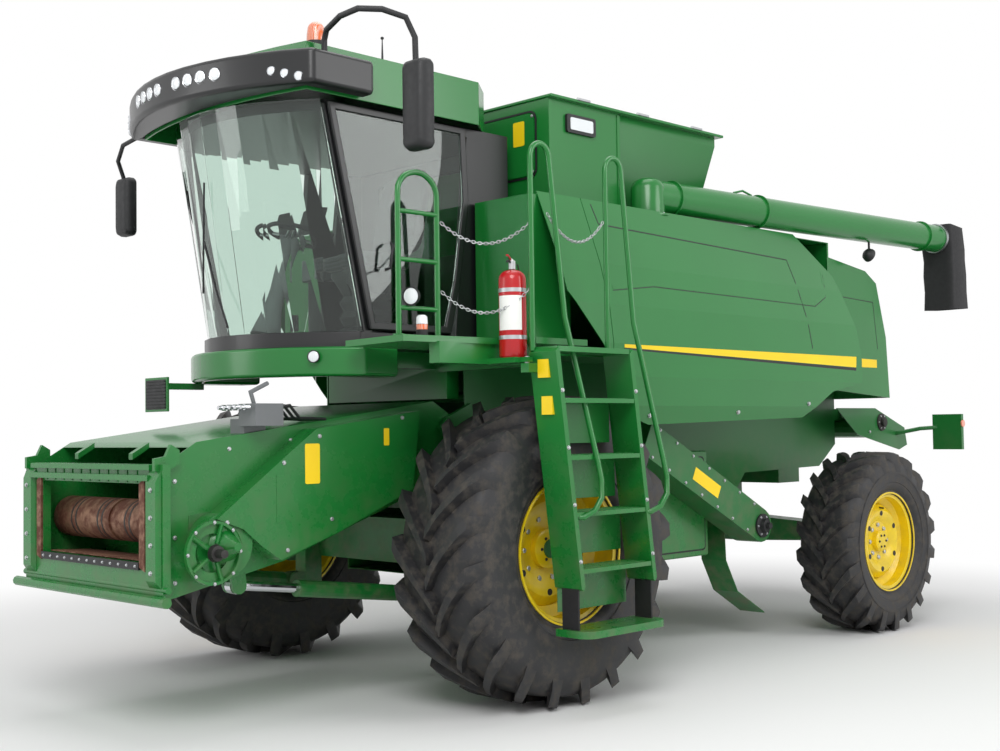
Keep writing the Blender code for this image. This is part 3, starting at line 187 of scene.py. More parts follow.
def metal(name, code, roughness, streak=(1.0, 1.0, 1.0), grain=1.5):
    """Bare metal; streak stretches its grain along the way it was drawn or ground."""
    made, tree, shader, place = start(name)
    stretched = add(tree, "ShaderNodeMapping", {"Vector": place, "Scale": streak}).outputs["Vector"]
    grains = cloud(tree, stretched, grain * MM, 3.0)
    feed(shader, {"Base Color": colour(code), "Metallic": 1.0,
                  "Roughness": span(tree, grains, 0.3, 0.7, roughness * 0.8, roughness * 1.25)})
    rise(tree, shader, grains, 0.03 * MM, 0.3)
    return made


def rusted_iron():
    """Crop-worn plate: brown rust with brighter rubbed steel where straw slides over it."""
    made, tree, shader, place = start("rusted_iron")
    flow = add(tree, "ShaderNodeMapping", {"Vector": place, "Scale": (1.0, 0.25, 1.0)}).outputs["Vector"]
    rubbed = span(tree, cloud(tree, flow, 60 * MM, 5.0, 0.6), 0.45, 0.65, 0.0, 1.0)
    feed(shader, {"Base Color": blend(tree, rubbed, colour("5B3322"), colour("94705A")),
                  "Roughness": span(tree, rubbed, 0.0, 1.0, 0.8, 0.45),
                  "Metallic": span(tree, rubbed, 0.0, 1.0, 0.0, 0.6)})
    rise(tree, shader, cloud(tree, place, 6 * MM, 4.0), 0.3 * MM, 0.5)
    return made


def safety_glass():
    """Tinted safety glass: clear, faintly green, with slow waves from tempering."""
    made, tree, shader, place = start("safety_glass")
    feed(shader, {"Base Color": colour("DCEBE3"), "Roughness": 0.0, "IOR": 1.45,
                  "Transmission Weight": 1.0})
    rise(tree, shader, cloud(tree, place, 500 * MM, 1.0), 0.3 * MM, 0.12)
    return made


def lens(name, code, shine=0.6):
    """Moulded lamp lens: coloured clear plastic over a fluted back, with painted highlights along the flutes.
    """
    made, tree, shader, place = start(name)
    across = add(tree, "ShaderNodeSeparateXYZ", {"Vector": place}).outputs["X"]
    flutes = calculate(tree, "MULTIPLY", across, 2 * math.pi / (9 * MM))
    wave = calculate(tree, "SINE", flutes)
    # Paler stripes along the flutes are painted highlights of the fluted back.
    pale = span(tree, wave, -1.0, 1.0, 0.0, 0.35)
    feed(shader, {"Base Color": blend(tree, pale, colour(code), colour("FFFFFF")), "Roughness": 0.08,
                  "Coat Weight": shine})
    rise(tree, shader, wave, 0.4 * MM, 0.4)
    return made


def seat_cloth():
    """Woven seat cloth: dark threads, drawn 25 mm apart so that the weave shows."""
    made, tree, shader, place = start("seat_cloth")
    scale = 12.5  # bands repeat every 2 pi / (20 x scale) metres
    warp, weft = [add(tree, "ShaderNodeTexWave", {"Vector": place, "Scale": scale, "Distortion": 1.5},
                      bands_direction=way).outputs["Fac"] for way in "XZ"]
    weave = calculate(tree, "MULTIPLY", warp, weft)
    feed(shader, {"Base Color": blend(tree, weave, colour("2A2B2D"), colour("5B5D60")),
                  "Roughness": 0.9, "Sheen Weight": 0.3})
    rise(tree, shader, weave, 0.4 * MM, 0.5)
    return made


GREEN = enamel("green_enamel", ("16722C", "1B7C33"), "6E6A55")
# Darker copy of the green enamel with more dust and a rougher coat; its darker tone is painted shade for
# parts under the body and between plates.
GREEN_DARK = enamel("green_enamel_shaded_dusty", ("146528", "196F2E"), "6E6A55", 0.4, 0.8)
YELLOW = enamel("yellow_enamel", ("F2CE0B", "F6D81A"), "8C7B4A", 0.3, 0.35)
BLACK = enamel("black_satin_paint", ("111214", "18191B"), "4A4640", 0.38, 0.4)
RED = enamel("red_enamel", ("B80F17", "C4141C"), "6E4A40", 0.22, 0.2)
DECAL = moulded("yellow_vinyl", "F4CF12", 0.4, 1.0, 0.02)
WHITE = moulded("white_vinyl", "E9EAE6", 0.45, 1.0, 0.02)
PLASTIC = moulded("black_moulded_plastic", "17181A")
GREY = moulded("grey_moulded_plastic", "6B6E70", 0.6)
LINER = moulded("pale_headliner", "A9ADA6", 0.85, 3.0, 0.3)
SOFT = moulded("black_soft_rubber", "1B1B1D", 0.7, 4.0, 0.2)
TYRE = tyre_rubber()
STEEL = metal("zinc_plated_steel", "B9BBBD", 0.38)
CHROME = metal("hard_chrome", "D5D7DA", 0.08)
IRON = metal("cast_iron", "4B4A49", 0.6, grain=4.0)
RUST = rusted_iron()
GLASS = safety_glass()
CLEAR = lens("clear_lens", "EEF3F6")
AMBER = lens("amber_lens", "F26A0C")
RED_LENS = lens("red_lens", "B8141A")
CLOTH = seat_cloth()
BY_SLOT = {"green": GREEN, "yellow": YELLOW, "black": BLACK, "rubber": SOFT, "tyre": TYRE, "glass": GLASS,
           "steel": CHROME, "red": RED, "grey": GREY, "fabric": CLOTH, "orange": AMBER, "brown": RUST}
# These low parts take the darker green enamel: painted shade, with more dust and a rougher coat.
SHADED_DUSTY_PARTS = ("chassis", "front_axle", "rear_axle", "knuckle_left", "knuckle_right", "tie_rod", "straw_chopper",
        "elevator_leg", "chaff_deflector", "lift_barrel_left", "lift_barrel_right")


# ---------------------------------------------------------------- shapes
POINT = 0.0004  # radius that stands for the tip of a turned shape, so that its faces stay whole


def square_to(way):
    """The unit way, and two more that stand square to it and to each other."""
    way = Vector(way).normalized()
    side = way.cross(Vector(UP) if abs(way.z) < 0.9 else Vector((0, 1, 0))).normalized()
    return way, side, way.cross(side)


def circle(centre, side, up, radius, facets):
    """Points round a centre, in the plane of side and up."""
    turns = [2 * math.pi * k / facets for k in range(facets)]
    return [centre + (side * math.cos(t) + up * math.sin(t)) * radius for t in turns]


class Shape:
    """Collects parts in machine coordinates and makes one piece of them, in its first paint unless told."""

    def __init__(self, paint):
        self.paints = [paint]
        self.points, self.faces, self.paint = [], [], []

    def put(self, points, faces, paint):
        first = len(self.points)
        self.points += [Vector(p) for p in points]
        self.faces += [[first + i for i in face] for face in faces]
        paint = paint or self.paints[0]
        if paint not in self.paints:
            self.paints.append(paint)
        self.paint += [self.paints.index(paint)] * len(faces)

    def rings(self, rings, paint=None, closed=False, caps=True):
        """Skins a row of rings that all have the same number of points."""
        count = len(rings[0])
        points = [p for ring in rings for p in ring]
        faces = []
        for k in range(len(rings) if closed else len(rings) - 1):
            a, b = k * count, (k + 1) % len(rings) * count
            faces += [[a + i, a + (i + 1) % count, b + (i + 1) % count, b + i] for i in range(count)]
        if caps and not closed:
            faces += [list(range(count))[::-1], [len(points) - count + i for i in range(count)]]
        self.put(points, faces, paint)

    def block(self, low, high, paint=None):
        (x0, y0, z0), (x1, y1, z1) = low, high
        self.rings([[(x0, y0, z), (x1, y0, z), (x1, y1, z), (x0, y1, z)] for z in (z0, z1)], paint)

    def plate(self, outline, axis, low, high, paint=None):
        """An outline in the two other axes, given thickness along axis."""
        order = {"x": lambda a, b, c: (c, a, b), "y": lambda a, b, c: (a, c, b), "z": lambda a, b,
                 c: (a, b, c)}[axis]
        self.rings([[order(a, b, c) for a, b in outline] for c in (low, high)], paint)

    def tube(self, route, radius, paint=None, facets=12):
        """A round tube along a route, with its ends closed."""
        route = [Vector(p) for p in route]
        side = square_to(route[1] - route[0])[1]
        rings = []
        for i, point in enumerate(route):
            way = (route[min(i + 1, len(route) - 1)] - route[max(i - 1, 0)]).normalized()
            side = (side - way * side.dot(way)).normalized()
            rings.append(circle(point, side, way.cross(side), radius, facets))
        self.rings(rings, paint)

    def lathe(self, profile, centre, way=(1, 0, 0), paint=None, facets=32, closed=False):
        """Turns (along, radius) points about a line through centre."""
        way, side, up = square_to(way)
        self.rings([circle(Vector(centre) + way * along, side, up, max(radius, POINT), facets)
                    for along, radius in profile], paint, closed=closed)

    def bolt(self, centre, way, size=0.012, paint=None):
        """A hexagon head on its washer."""
        self.lathe([(0, size * 1.3), (size * 0.2, size * 1.3), (size * 0.2, size), (size * 0.8, size),
                    (size * 0.95, size * 0.8)], centre, way, paint, 6)

    def bolts(self, centre, way, ring, count, size=0.012, paint=None):
        way, side, up = square_to(way)
        for spot in circle(Vector(centre), side, up, ring, count):
            self.bolt(spot, way, size, paint)

    def make(self, name, body, replaces=(), bevel=0.0, smooth=32.0, subdivide=0):
        mesh = bpy.data.meshes.new(name)
        mesh.from_pydata([tuple(p + SHIFT) for p in self.points], [], self.faces)
        for paint in self.paints:
            mesh.materials.append(paint)
        mesh.polygons.foreach_set("material_index", self.paint)
        tidy = bmesh.new()
        tidy.from_mesh(mesh)
        bmesh.ops.recalc_face_normals(tidy, faces=tidy.faces)
        tidy.to_mesh(mesh)
        tidy.free()
        return finish_piece(name, mesh, body, replaces, bevel, smooth, subdivide)


def finish_piece(name, mesh, body, replaces=(), bevel=0.0, smooth=32.0, subdivide=0):
    """Links a mesh as a piece, rounds its edges, and says what it rides on and stands for."""
    thing = bpy.data.objects.new(name, mesh)
    bpy.context.scene.collection.objects.link(thing)
    mesh.shade_smooth()
    mesh.set_sharp_from_angle(angle=math.radians(smooth))
    if bevel:
        rounding = thing.modifiers.new("edges", "BEVEL")
        rounding.width = bevel
        rounding.segments = 2
        rounding.limit_method = "ANGLE"
        rounding.angle_limit = math.radians(smooth)
        rounding.harden_normals = True
    if subdivide:
        rounder = thing.modifiers.new("form", "SUBSURF")
        rounder.levels = rounder.render_levels = subdivide
    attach(thing, body)
    if replaces:
        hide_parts(*([replaces] if isinstance(replaces, str) else replaces))
    return thing


def rounded(node, body, paint, bevel=0.008, smooth=32.0):
    """A formed-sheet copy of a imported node, with the small edge radius that pressing leaves."""
    mesh = frame["nodes"][node].data.copy()
    mesh.materials.clear()
    mesh.materials.append(paint)
    tidy = bmesh.new()
    tidy.from_mesh(mesh)
    bmesh.ops.remove_doubles(tidy, verts=tidy.verts, dist=0.00002)
    bmesh.ops.dissolve_limit(tidy, angle_limit=math.radians(1.0), verts=tidy.verts, edges=tidy.edges)
    for face in tidy.faces:
        face.material_index = 0
    tidy.to_mesh(mesh)
    tidy.free()
    return finish_piece(f"{node}_formed", mesh, body, node, bevel, smooth)


SKINS = {}


def skin(node, side, y, z):
    """Outermost x of a node at (y, z), seen from the machine's side."""
    if node not in SKINS:
        mesh = frame["nodes"][node].data
        SKINS[node] = BVHTree.FromPolygons([v.co.copy() for v in mesh.vertices],
                                           [tuple(p.vertices) for p in mesh.polygons])
    hit = SKINS[node].ray_cast(at(side * 4.0, y, z), Vector((-side, 0, 0)))[0]
    return hit.x - SHIFT.x if hit else None


def band(shape, node, side, upper, lower, paint, steps=24, lift=0.0015):
    """A thin strip laid on a node between two lines z(y); each line is a list of (y, z) points."""
    def line(points, share):
        y = points[0][0] + (points[-1][0] - points[0][0]) * share
        for (y0, z0), (y1, z1) in zip(points, points[1:]):
            if y0 <= y <= y1:
                return y, z0 + (z1 - z0) * (y - y0) / (y1 - y0)
        return points[-1]
    rings = []
    for k in range(steps + 1):
        ring = []
        for points in (lower, upper):
            y, z = line(points, k / steps)
            x = skin(node, side, y, z)
            if x is None:
                break
            ring += [(x - side * 0.001, y, z), (x + side * lift, y, z)]
        if len(ring) == 4:
            rings.append([ring[0], ring[1], ring[3], ring[2]])
    if len(rings) > 1:
        shape.rings(rings, paint)


def seam_and_painted_shadow(shape, node, side, points, width=0.006, paint=None):
    """A strip of the given paint along (y, z) points on a node; it draws dark joint lines, the raised crease,
    and the painted shadow line under the crease.
    """
    for (y0, z0), (y1, z1) in zip(points, points[1:]):
        steps = max(2, int(math.hypot(y1 - y0, z1 - z0) / 0.08))
        way = Vector((y1 - y0, z1 - z0)).normalized() * width / 2
        rings = []
        for k in range(steps + 1):
            y, z = y0 + (y1 - y0) * k / steps, z0 + (z1 - z0) * k / steps
            ends = [(y - way.y, z + way.x), (y + way.y, z - way.x)]
            found = [skin(node, side, *end) for end in ends]
            if None in found:
                continue
            (ya, za), (yb, zb) = ends
            rings.append([(found[0] - side * 0.002, ya, za), (found[0] + side * 0.001, ya, za),
                          (found[1] + side * 0.001, yb, zb), (found[1] - side * 0.002, yb, zb)])
        if len(rings) > 1:
            shape.rings(rings, paint)


def arc(centre, radius, first, last, steps):
    """Points of a circular arc in a plane, angles in degrees."""
    turns = [math.radians(first + (last - first) * k / steps) for k in range(steps + 1)]
    return [(centre[0] + radius * math.cos(t), centre[1] + radius * math.sin(t)) for t in turns]


def softened(low, high, radius, steps=4):
    """Outline of a rectangle with round corners."""
    (a0, b0), (a1, b1) = low, high
    a0, a1, b0, b1 = a0 + radius, a1 - radius, b0 + radius, b1 - radius
    corners = ((a1, b0), (a1, b1), (a0, b1), (a0, b0))
    return [p for k, corner in enumerate(corners) for p in arc(corner, radius, 90 * k - 90, 90 * k, steps)]


def hoop(start, end, height, steps=10):
    """A round top from one upright to the next."""
    a, b = Vector(start), Vector(end)
    return [a.lerp(b, 0.5 - 0.5 * math.cos(math.pi * k / steps))
            + Vector((0, 0, height * math.sin(math.pi * k / steps))) for k in range(steps + 1)]


# ---------------------------------------------------------------- camera, light and floor
def camera():
    """Eye-level view of the machine's front left corner, on a 48 mm lens."""
    turn, lift, roll = math.radians(45.07), 0.0406, -0.014
    ahead = Vector((-math.sin(turn) * math.cos(lift), math.cos(turn) * math.cos(lift), math.sin(lift)))
    right = ahead.cross(Vector(UP)).normalized()
    up = right.cross(ahead)
    right, up = right * math.cos(roll) + up * math.sin(roll), up * math.cos(roll) - right * math.sin(roll)
    data = bpy.data.cameras.new("camera")
    data.lens, data.sensor_width, data.clip_end = 47.75, 36.0, 200.0
    made = bpy.data.objects.new("camera", data)
    turned = Matrix((right, up, -ahead)).transposed().to_4x4()
    made.matrix_world = Matrix.Translation(at(6.712, -5.6649, 1.5835)) @ turned
    bpy.context.scene.collection.objects.link(made)
    bpy.context.scene.camera = made


def softbox(name, place, target, size, power):
    """A round soft light of the given width that faces a point."""
    data = bpy.data.lights.new(name, "AREA")
    data.shape, data.size, data.energy = "DISK", size, power
    made = bpy.data.objects.new(name, data)
    made.location = at(*place)
    made.rotation_euler = (at(*target) - at(*place)).to_track_quat("-Z", "Y").to_euler()
    bpy.context.scene.collection.objects.link(made)


def seen_directly(tree):
    """1 where a ray comes from the camera, a mirror or glass."""
    path = add(tree, "ShaderNodeLightPath").outputs
    first = calculate(tree, "MAXIMUM", path["Is Camera Ray"], path["Is Glossy Ray"])
    return calculate(tree, "MAXIMUM", first, path["Is Transmission Ray"])


def studio():
    """White surroundings, a pale floor that keeps the shadow, and four soft lights."""
    world = bpy.data.worlds.new("studio")
    bpy.context.scene.world = world
    world.use_nodes = True
    tree = world.node_tree
    tree.nodes.clear()
    white = add(tree, "ShaderNodeBackground", {"Color": (1, 1, 1, 1), "Strength": 1.0})
    fill = add(tree, "ShaderNodeBackground", {"Color": (1, 1, 1, 1), "Strength": 0.42})
    mix = add(tree, "ShaderNodeMixShader", {0: seen_directly(tree), 1: fill.outputs["Background"],
                                            2: white.outputs["Background"]})
    add(tree, "ShaderNodeOutputWorld", {"Surface": mix.outputs["Shader"]})
    bpy.context.scene.view_settings.view_transform = "Standard"

    mesh = bpy.data.meshes.new("floor")
    reach = 60.0
    mesh.from_pydata([(-reach, -reach, 0), (reach, -reach, 0), (reach, reach, 0), (-reach, reach, 0)], [],
                     [(0, 1, 2, 3)])
    floor = bpy.data.objects.new("floor", mesh)
    bpy.context.scene.collection.objects.link(floor)
    made = bpy.data.materials.new("pale_floor")
    made.use_nodes = True
    tree = made.node_tree
    tree.nodes.clear()
    matt = add(tree, "ShaderNodeBsdfDiffuse", {"Color": colour("F6F6F6")})
    glow = add(tree, "ShaderNodeEmission", {"Color": (1, 1, 1, 1), "Strength": 1.0})
    place = add(tree, "ShaderNodeTexCoord").outputs["Object"]
    far = add(tree, "ShaderNodeVectorMath", {0: place}, operation="LENGTH").outputs["Value"]
    fade = add(tree, "ShaderNodeMapRange", {"Value": far, "From Min": 3.6, "From Max": 7.5},
               interpolation_type="SMOOTHSTEP").outputs["Result"]
    share = calculate(tree, "MULTIPLY", fade, seen_directly(tree))
    mix = add(tree, "ShaderNodeMixShader", {0: share, 1: matt.outputs["BSDF"], 2: glow.outputs["Emission"]})
    add(tree, "ShaderNodeOutputMaterial", {"Surface": mix.outputs["Shader"]})
    mesh.materials.append(made)

    softbox("key", (7.5, -7.0, 8.5), (0, 0.5, 1.5), 6.0, 620)
    softbox("side", (10.5, 5.0, 5.5), (0.5, 2.0, 1.6), 6.0, 330)
    softbox("front", (-4.5, -10.0, 4.5), (0, 0, 1.5), 5.0, 190)
    softbox("top", (0, 1.0, 11.0), (0, 1.0, 0), 8.0, 330)


# ---------------------------------------------------------------- tyres and rims
def tyre(end, radius, half_width, rim, lugs, depth, sweep_turn):
    """Drive tyre: ribbed sidewall, crowned carcass, curved bars that meet in a vee, flat where it stands."""
    node, body = f"tyre_{end}", f"wheel_{end}"
    hub = middle(node) - SHIFT
    shape = Shape(TYRE)
    base = radius - depth
    half = [(0.0, base), (half_width * 0.45, base - 0.004), (half_width * 0.80, base - 0.018),
            (half_width * 0.93, base - 0.052), (half_width, base - 0.13),
            (half_width * 1.0, (base + rim) / 2 + 0.02), (half_width * 0.955, rim + 0.075),
            (half_width * 0.93, rim + 0.070), (half_width * 0.925, rim + 0.055),
            (half_width * 0.86, rim + 0.026), (half_width * 0.80, rim + 0.012),
            (half_width * 0.80, rim - 0.018)]
    profile = [(-x, r) for x, r in reversed(half[1:])] + half
    shape.lathe(profile, hub, LEFT, facets=72, closed=True)
    for k in range(lugs):
        for way in (1, -1):
            first = 2 * math.pi * (k + (0.5 if way > 0 else 0.0)) / lugs
            rings = []
            for share in (0.0, 0.2, 0.4, 0.6, 0.8, 0.93, 1.0):
                across = way * (-0.012 + share * (half_width * 0.985 + 0.012))
                turn = first - sweep_turn * (share ** 0.82)
                drop = 0.0 if share < 0.9 else (0.012 if share < 0.95 else 0.10)
                top = radius - 0.006 * share - drop
                foot = min(base - 0.02, top - 0.03) - (0.05 if share > 0.9 else 0.0)
                wide, narrow = (0.045 + 0.012 * share) / radius, (0.028 + 0.010 * share) / radius
                rings.append([hub + Vector((across, math.cos(turn + t) * r, math.sin(turn + t) * r))
                              for t, r in ((-wide, foot), (-narrow, top), (narrow, top), (wide, foot))])
            shape.rings(rings)
    for point in shape.points:
        point.z = max(point.z, GROUND_GAP)
    shape.make(f"{node}_tread", body, node, smooth=40)


def rim(end, side, radius, half, disc, hub_radius, count):
    """Pressed wheel: flanged barrel with a drop centre, dished disc, hub and its ring of nuts."""
    node, body = f"rim_{end}", f"wheel_{end}"
    hub = middle(f"tyre_{end}") - SHIFT
    way = (side, 0, 0)
    seat, well, wall = radius - 0.026, radius - 0.085, 0.012
    shape = Shape(YELLOW)
    outer = [(-half, radius), (-half + 0.018, radius), (-half + 0.026, seat), (-0.10, seat), (-0.06, well),
             (0.06, well), (0.10, seat), (half - 0.026, seat), (half - 0.018, radius), (half, radius)]
    inner = [(along, r - wall) for along, r in reversed(outer)]
    shape.lathe(outer + inner, hub, way, facets=64, closed=True)
    dish = [(disc, well - wall), (disc + 0.012, well * 0.93), (disc + 0.040, well * 0.80),
            (disc + 0.036, well * 0.66), (disc + 0.004, well * 0.52), (disc, hub_radius * 0.45)]
    shape.lathe(dish + [(a - 0.012, r) for a, r in reversed(dish)], hub, way, facets=64, closed=True)
    shape.lathe([(disc - 0.08, hub_radius * 0.5), (disc + 0.035, hub_radius * 0.5),
                 (disc + 0.045, hub_radius * 0.42), (disc + 0.047, 0.0)], hub, way, facets=40)
    face = hub + Vector((side * disc, 0, 0))
    shape.bolts(face, way, hub_radius * 0.78, count, 0.016, STEEL)
    shape.bolts(face + Vector((side * 0.045, 0, 0)), way, hub_radius * 0.30, 6, 0.008, IRON)
    for k in range(6):
        turn = 2 * math.pi * (k + 0.5) / 6
        out = well * 0.73
        spot = hub + Vector((side * (disc + 0.037), math.cos(turn) * out, math.sin(turn) * out))
        shape.lathe([(0, 0.020), (0.003, 0.020), (0.004, 0.014), (0.004, 0.0)], spot, way, IRON, 16)
    valve = [(side * (disc + 0.01), 0, well * 0.88), (side * (disc + 0.06), 0, well * 0.86)]
    shape.tube([hub + Vector(p) for p in valve], 0.006, IRON, 8)
    shape.make(f"{node}_pressed", body, node, smooth=35)


def wheels():
    for side, end in SIDES:
        tyre(f"front_{end}", radius=0.893, half_width=0.322, rim=0.432, lugs=20, depth=0.052, sweep_turn=0.42)
        rim(f"front_{end}", side, radius=0.430, half=0.266, disc=0.05, hub_radius=0.23, count=10)
    for side, end in SIDES:
        tyre(f"rear_{end}", radius=0.6885, half_width=0.238, rim=0.380, lugs=19, depth=0.040, sweep_turn=0.40)
        rim(f"rear_{end}", side, radius=0.378, half=0.196, disc=0.085, hub_radius=0.16, count=8)


# ---------------------------------------------------------------- body
def stripes():
    """Yellow stripe with a dark line under it, tapering forward, on both side panels and the hood."""
    for side, end in SIDES:
        panel = f"side_panel_{end}"
        shape = Shape(DECAL)
        band(shape, panel, side, [(0.50, 2.096), (3.36, 2.096)], [(0.50, 2.078), (3.36, 2.016)], DECAL)
        band(shape, panel, side, [(0.62, 2.073), (3.36, 2.012)], [(0.62, 2.064), (3.36, 1.992)], PLASTIC)
        shape.make(f"stripe_{end}", f"panel_{end}")
        shape = Shape(DECAL)
        band(shape, "rear_hood", side, [(3.56, 2.12), (4.20, 2.11)], [(3.56, 2.045), (4.20, 2.045)], DECAL,
             6)
        shape.make(f"hood_stripe_{end}", "machine")


def panel_details():
    """Joints, pressed crease with a painted shadow line under it, and catches of the side panels."""
    for side, end in SIDES:
        panel = f"side_panel_{end}"
        shape = Shape(PLASTIC)
        seam_and_painted_shadow(shape, panel, side, [(0.60, 2.99), (0.62, 2.86), (2.70, 2.80), (2.76, 2.14)], 0.008, PLASTIC)
        crease = [(0.50, 2.44), (1.00, 2.50), (2.90, 2.48), (3.08, 2.56), (3.14, 2.74)]
        seam_and_painted_shadow(shape, panel, side, crease, 0.030, GREEN)
        # Black line 20 mm under the crease: painted shadow of the crease.
        seam_and_painted_shadow(shape, panel, side, [(y, z - 0.020) for y, z in crease], 0.005, PLASTIC)
        for y, z in ((0.95, 1.66), (1.9, 1.68), (2.75, 1.74)):
            x = skin(panel, side, y, z)
            if x:
                shape.bolt((x, y, z), (side, 0, 0), 0.014, STEEL)
        shape.make(f"panel_joints_and_painted_shadow_{end}", f"panel_{end}")


def tank_details():
    """Hatch, lamp, blank plate, rivets and rims of the grain tank; ribs under its lids."""
    shape = Shape(GREEN)
    face = 0.4985
    outline = softened((0.30, 3.20), (0.90, 3.64), 0.06)
    inner = softened((0.312, 3.212), (0.888, 3.628), 0.05)
    shape.rings([[(x, face, z) for x, z in outline], [(x, face - 0.006, z) for x, z in outline],
                 [(x, face - 0.006, z) for x, z in inner], [(x, face, z) for x, z in inner]], PLASTIC,
                closed=True)
    shape.plate(softened((0.318, 3.218), (0.882, 3.622), 0.045), "y", face - 0.012, face, GREEN)
    shape.plate(softened((0.70, 3.42), (0.80, 3.58), 0.01), "y", face - 0.0135, face - 0.012, DECAL)
    shape.tube([(0.36, face - 0.012, 3.36), (0.36, face - 0.045, 3.38), (0.36, face - 0.045, 3.46),
                (0.36, face - 0.012, 3.48)], 0.007, PLASTIC, 10)
    for x, z in ((0.33, 3.24), (0.87, 3.24), (0.33, 3.60), (0.87, 3.60)):
        shape.bolt((x, face - 0.012, z), FRONT, 0.009, STEEL)
    shape.plate(softened((0.66, 3.50), (0.94, 3.62), 0.015), "x", TANK_SIDE, 1.020, PLASTIC)
    shape.plate(softened((0.69, 3.52), (0.91, 3.60), 0.010), "x", 1.020, 1.024, CLEAR)
    for side in (1, -1):
        for y in (0.515, 1.19):
            shape.plate(softened((y - 0.014, 3.02), (y + 0.014, 3.69), 0.008), "x",
                        *sorted((side * TANK_SIDE, side * 1.006)))
        for k in range(9):
            shape.bolt((side * TANK_SIDE, 0.56 + 0.075 * k, 3.05), (side, 0, 0), 0.008, STEEL)
    shape.make("tank_fittings", "machine")
    for side, end in SIDES:
        shape = Shape(GREEN)
        for y in (0.62, 1.05, 1.50, 1.95, 2.22):
            low, high = sorted((side * 0.06, side * 0.96))
            shape.rings([[(low, y - 0.03, z), (high, y - 0.03, z), (high, y + 0.03, z), (low, y + 0.03, z)]
                         for z in (3.7205, 3.7235)], GREEN)
        for y in (0.80, 1.41, 2.02):
            shape.tube([(side * 1.04, y - 0.06, 3.722), (side * 1.04, y + 0.06, 3.722)], 0.010, STEEL, 10)
        shape.make(f"lid_ribs_{end}", f"lid_{end}", bevel=0.001)


def auger():
    """Painted tube with rolled flanges, its elbow, the black boot with pleats, and a work lamp."""
    start_point, end = Vector((1.11, 1.36, 3.15)), Vector((1.40, 4.93, 3.15))
    way = (end - start_point).normalized()
    shape = Shape(GREEN)
    length = (end - start_point).length
    radius = 0.1115
    profile = [(-0.02, 0.0), (-0.02, 0.08), (0.0, radius)]
    for where in (0.22, 1.15, length - 0.30):
        profile += [(where, radius), (where, radius + 0.014), (where + 0.012, radius + 0.014),
                    (where + 0.012, radius)]
    profile += [(length, radius), (length, 0.0)]
    shape.lathe(profile, start_point, way, GREEN, 40)
    shape.lathe([(3.0015, 0.0), (3.0015, 0.150), (3.012, 0.150), (3.012, 0.1155), (3.20, 0.1155),
                 (3.24, 0.10), (3.262, 0.06), (3.268, 0.0)], (1.11, 1.36, 0.0), UP, GREEN, 40)
    shape.bolts((1.11, 1.36, 3.012), UP, 0.134, 10, 0.008, STEEL)
    shape.tube([start_point + way * along + Vector((0, 0, lift))
                for along, lift in ((0.9, 0.115), (1.0, 0.14), (1.1, 0.115))], 0.008, GREEN)
    shape.make("auger_tube", "auger", "unloading_auger", smooth=40)
    shape = Shape(SOFT)
    start_y = end.y - 0.05
    rows = [(0.0, 0.235, 3.265, 3.245), (0.01, 0.262, 3.06, 3.06), (0.022, 0.272, 2.96, 2.97),
            (0.020, 0.278, 2.84, 2.85), (0.024, 0.290, 2.70, 2.70), (0.020, 0.294, 2.545, 2.56)]
    rings = []
    for k, (y0, y1, z0, z1) in enumerate(rows):
        wide = 0.132 + (0.006 if k % 2 else 0.0)
        points = softened((-wide, 0.0), (wide, 1.0), 0.06, 5)
        rings.append([(end.x + a, start_y + y0 + (y1 - y0) * b, z0 + (z1 - z0) * b) for a, b in points])
    inside = [[(end.x + (x - end.x) * 0.93, (y - r[0][1]) * 0.96 + r[0][1] + 0.004, z) for x, y, z in r]
              for r in rings]
    shape.rings(rings + inside[::-1][:-1], caps=False)
    shape.rings([rings[0], inside[1]], caps=False)
    shape.lathe([(length - 0.065, 0.114), (length - 0.065, 0.124), (length - 0.04, 0.124),
                 (length - 0.04, 0.114)], start_point, way, STEEL, 36, closed=True)
    shape.make("auger_boot", "auger", "auger_spout", smooth=50)
    lamp("auger_lamp", "auger", (1.325, 3.90, 2.935), (0.2, 0.9, -0.35), 0.055, CLEAR, (1.325, 3.90, 3.04))


def lamp(name, body, centre, way, radius, glass, foot=None):
    """Round work lamp: black bowl with its rim, clear face, and its stalk."""
    shape = Shape(PLASTIC)
    shape.lathe([(-radius * 0.95, 0.0), (-radius * 0.85, radius * 0.45), (-radius * 0.45, radius * 0.88),
                 (0.0, radius), (0.010, radius), (0.010, radius * 0.90), (0.0, radius * 0.86)], centre,
                way, PLASTIC, 28)
    shape.lathe([(0.001, radius * 0.88), (0.006, radius * 0.86), (0.009, radius * 0.6), (0.012, 0.0)],
                centre, way, glass, 28)
    if foot:
        shape.tube([centre, foot], 0.009, PLASTIC, 10)
    shape.make(name, body, smooth=45)


# ---------------------------------------------------------------- cab
BIG_LAMP = ([(-0.03, 0.0), (-0.03, 0.036), (0.004, 0.040), (0.008, 0.038), (0.004, 0.034)],
            [(0.003, 0.034), (0.008, 0.022), (0.010, 0.0)])
SMALL_LAMP = ([(-0.03, 0.0), (-0.03, 0.024), (0.004, 0.027), (0.008, 0.025), (0.004, 0.022)],
              [(0.003, 0.022), (0.007, 0.014), (0.008, 0.0)])


def visor_lamps():
    """Four round lamps each side of the middle, and three small ones at each corner, in chromed rims."""
    for side, end in SIDES:
        shape = Shape(CHROME)
        spots = [(0.10 + 0.105 * k, 3.585, (0.7, -1.0, -0.10), BIG_LAMP, 28) for k in range(4)]
        spots += [(0.76 + 0.07 * k, 3.56 - 0.02 * k, (0.9, -0.8, -0.15), SMALL_LAMP, 24) for k in range(3)]
        for x, z, (turn, ahead, lift), (bowl, face), facets in spots:
            x *= side
            point = (x, -1.34 - 0.32 * (1 - (x / 0.97) ** 2) + 0.004, z)
            way = (x * turn, ahead, lift)
            shape.lathe(bowl, point, way, CHROME, facets)
            shape.lathe(face, point, way, CLEAR, facets)
        shape.make(f"visor_lamps_{end}", "machine", smooth=45)


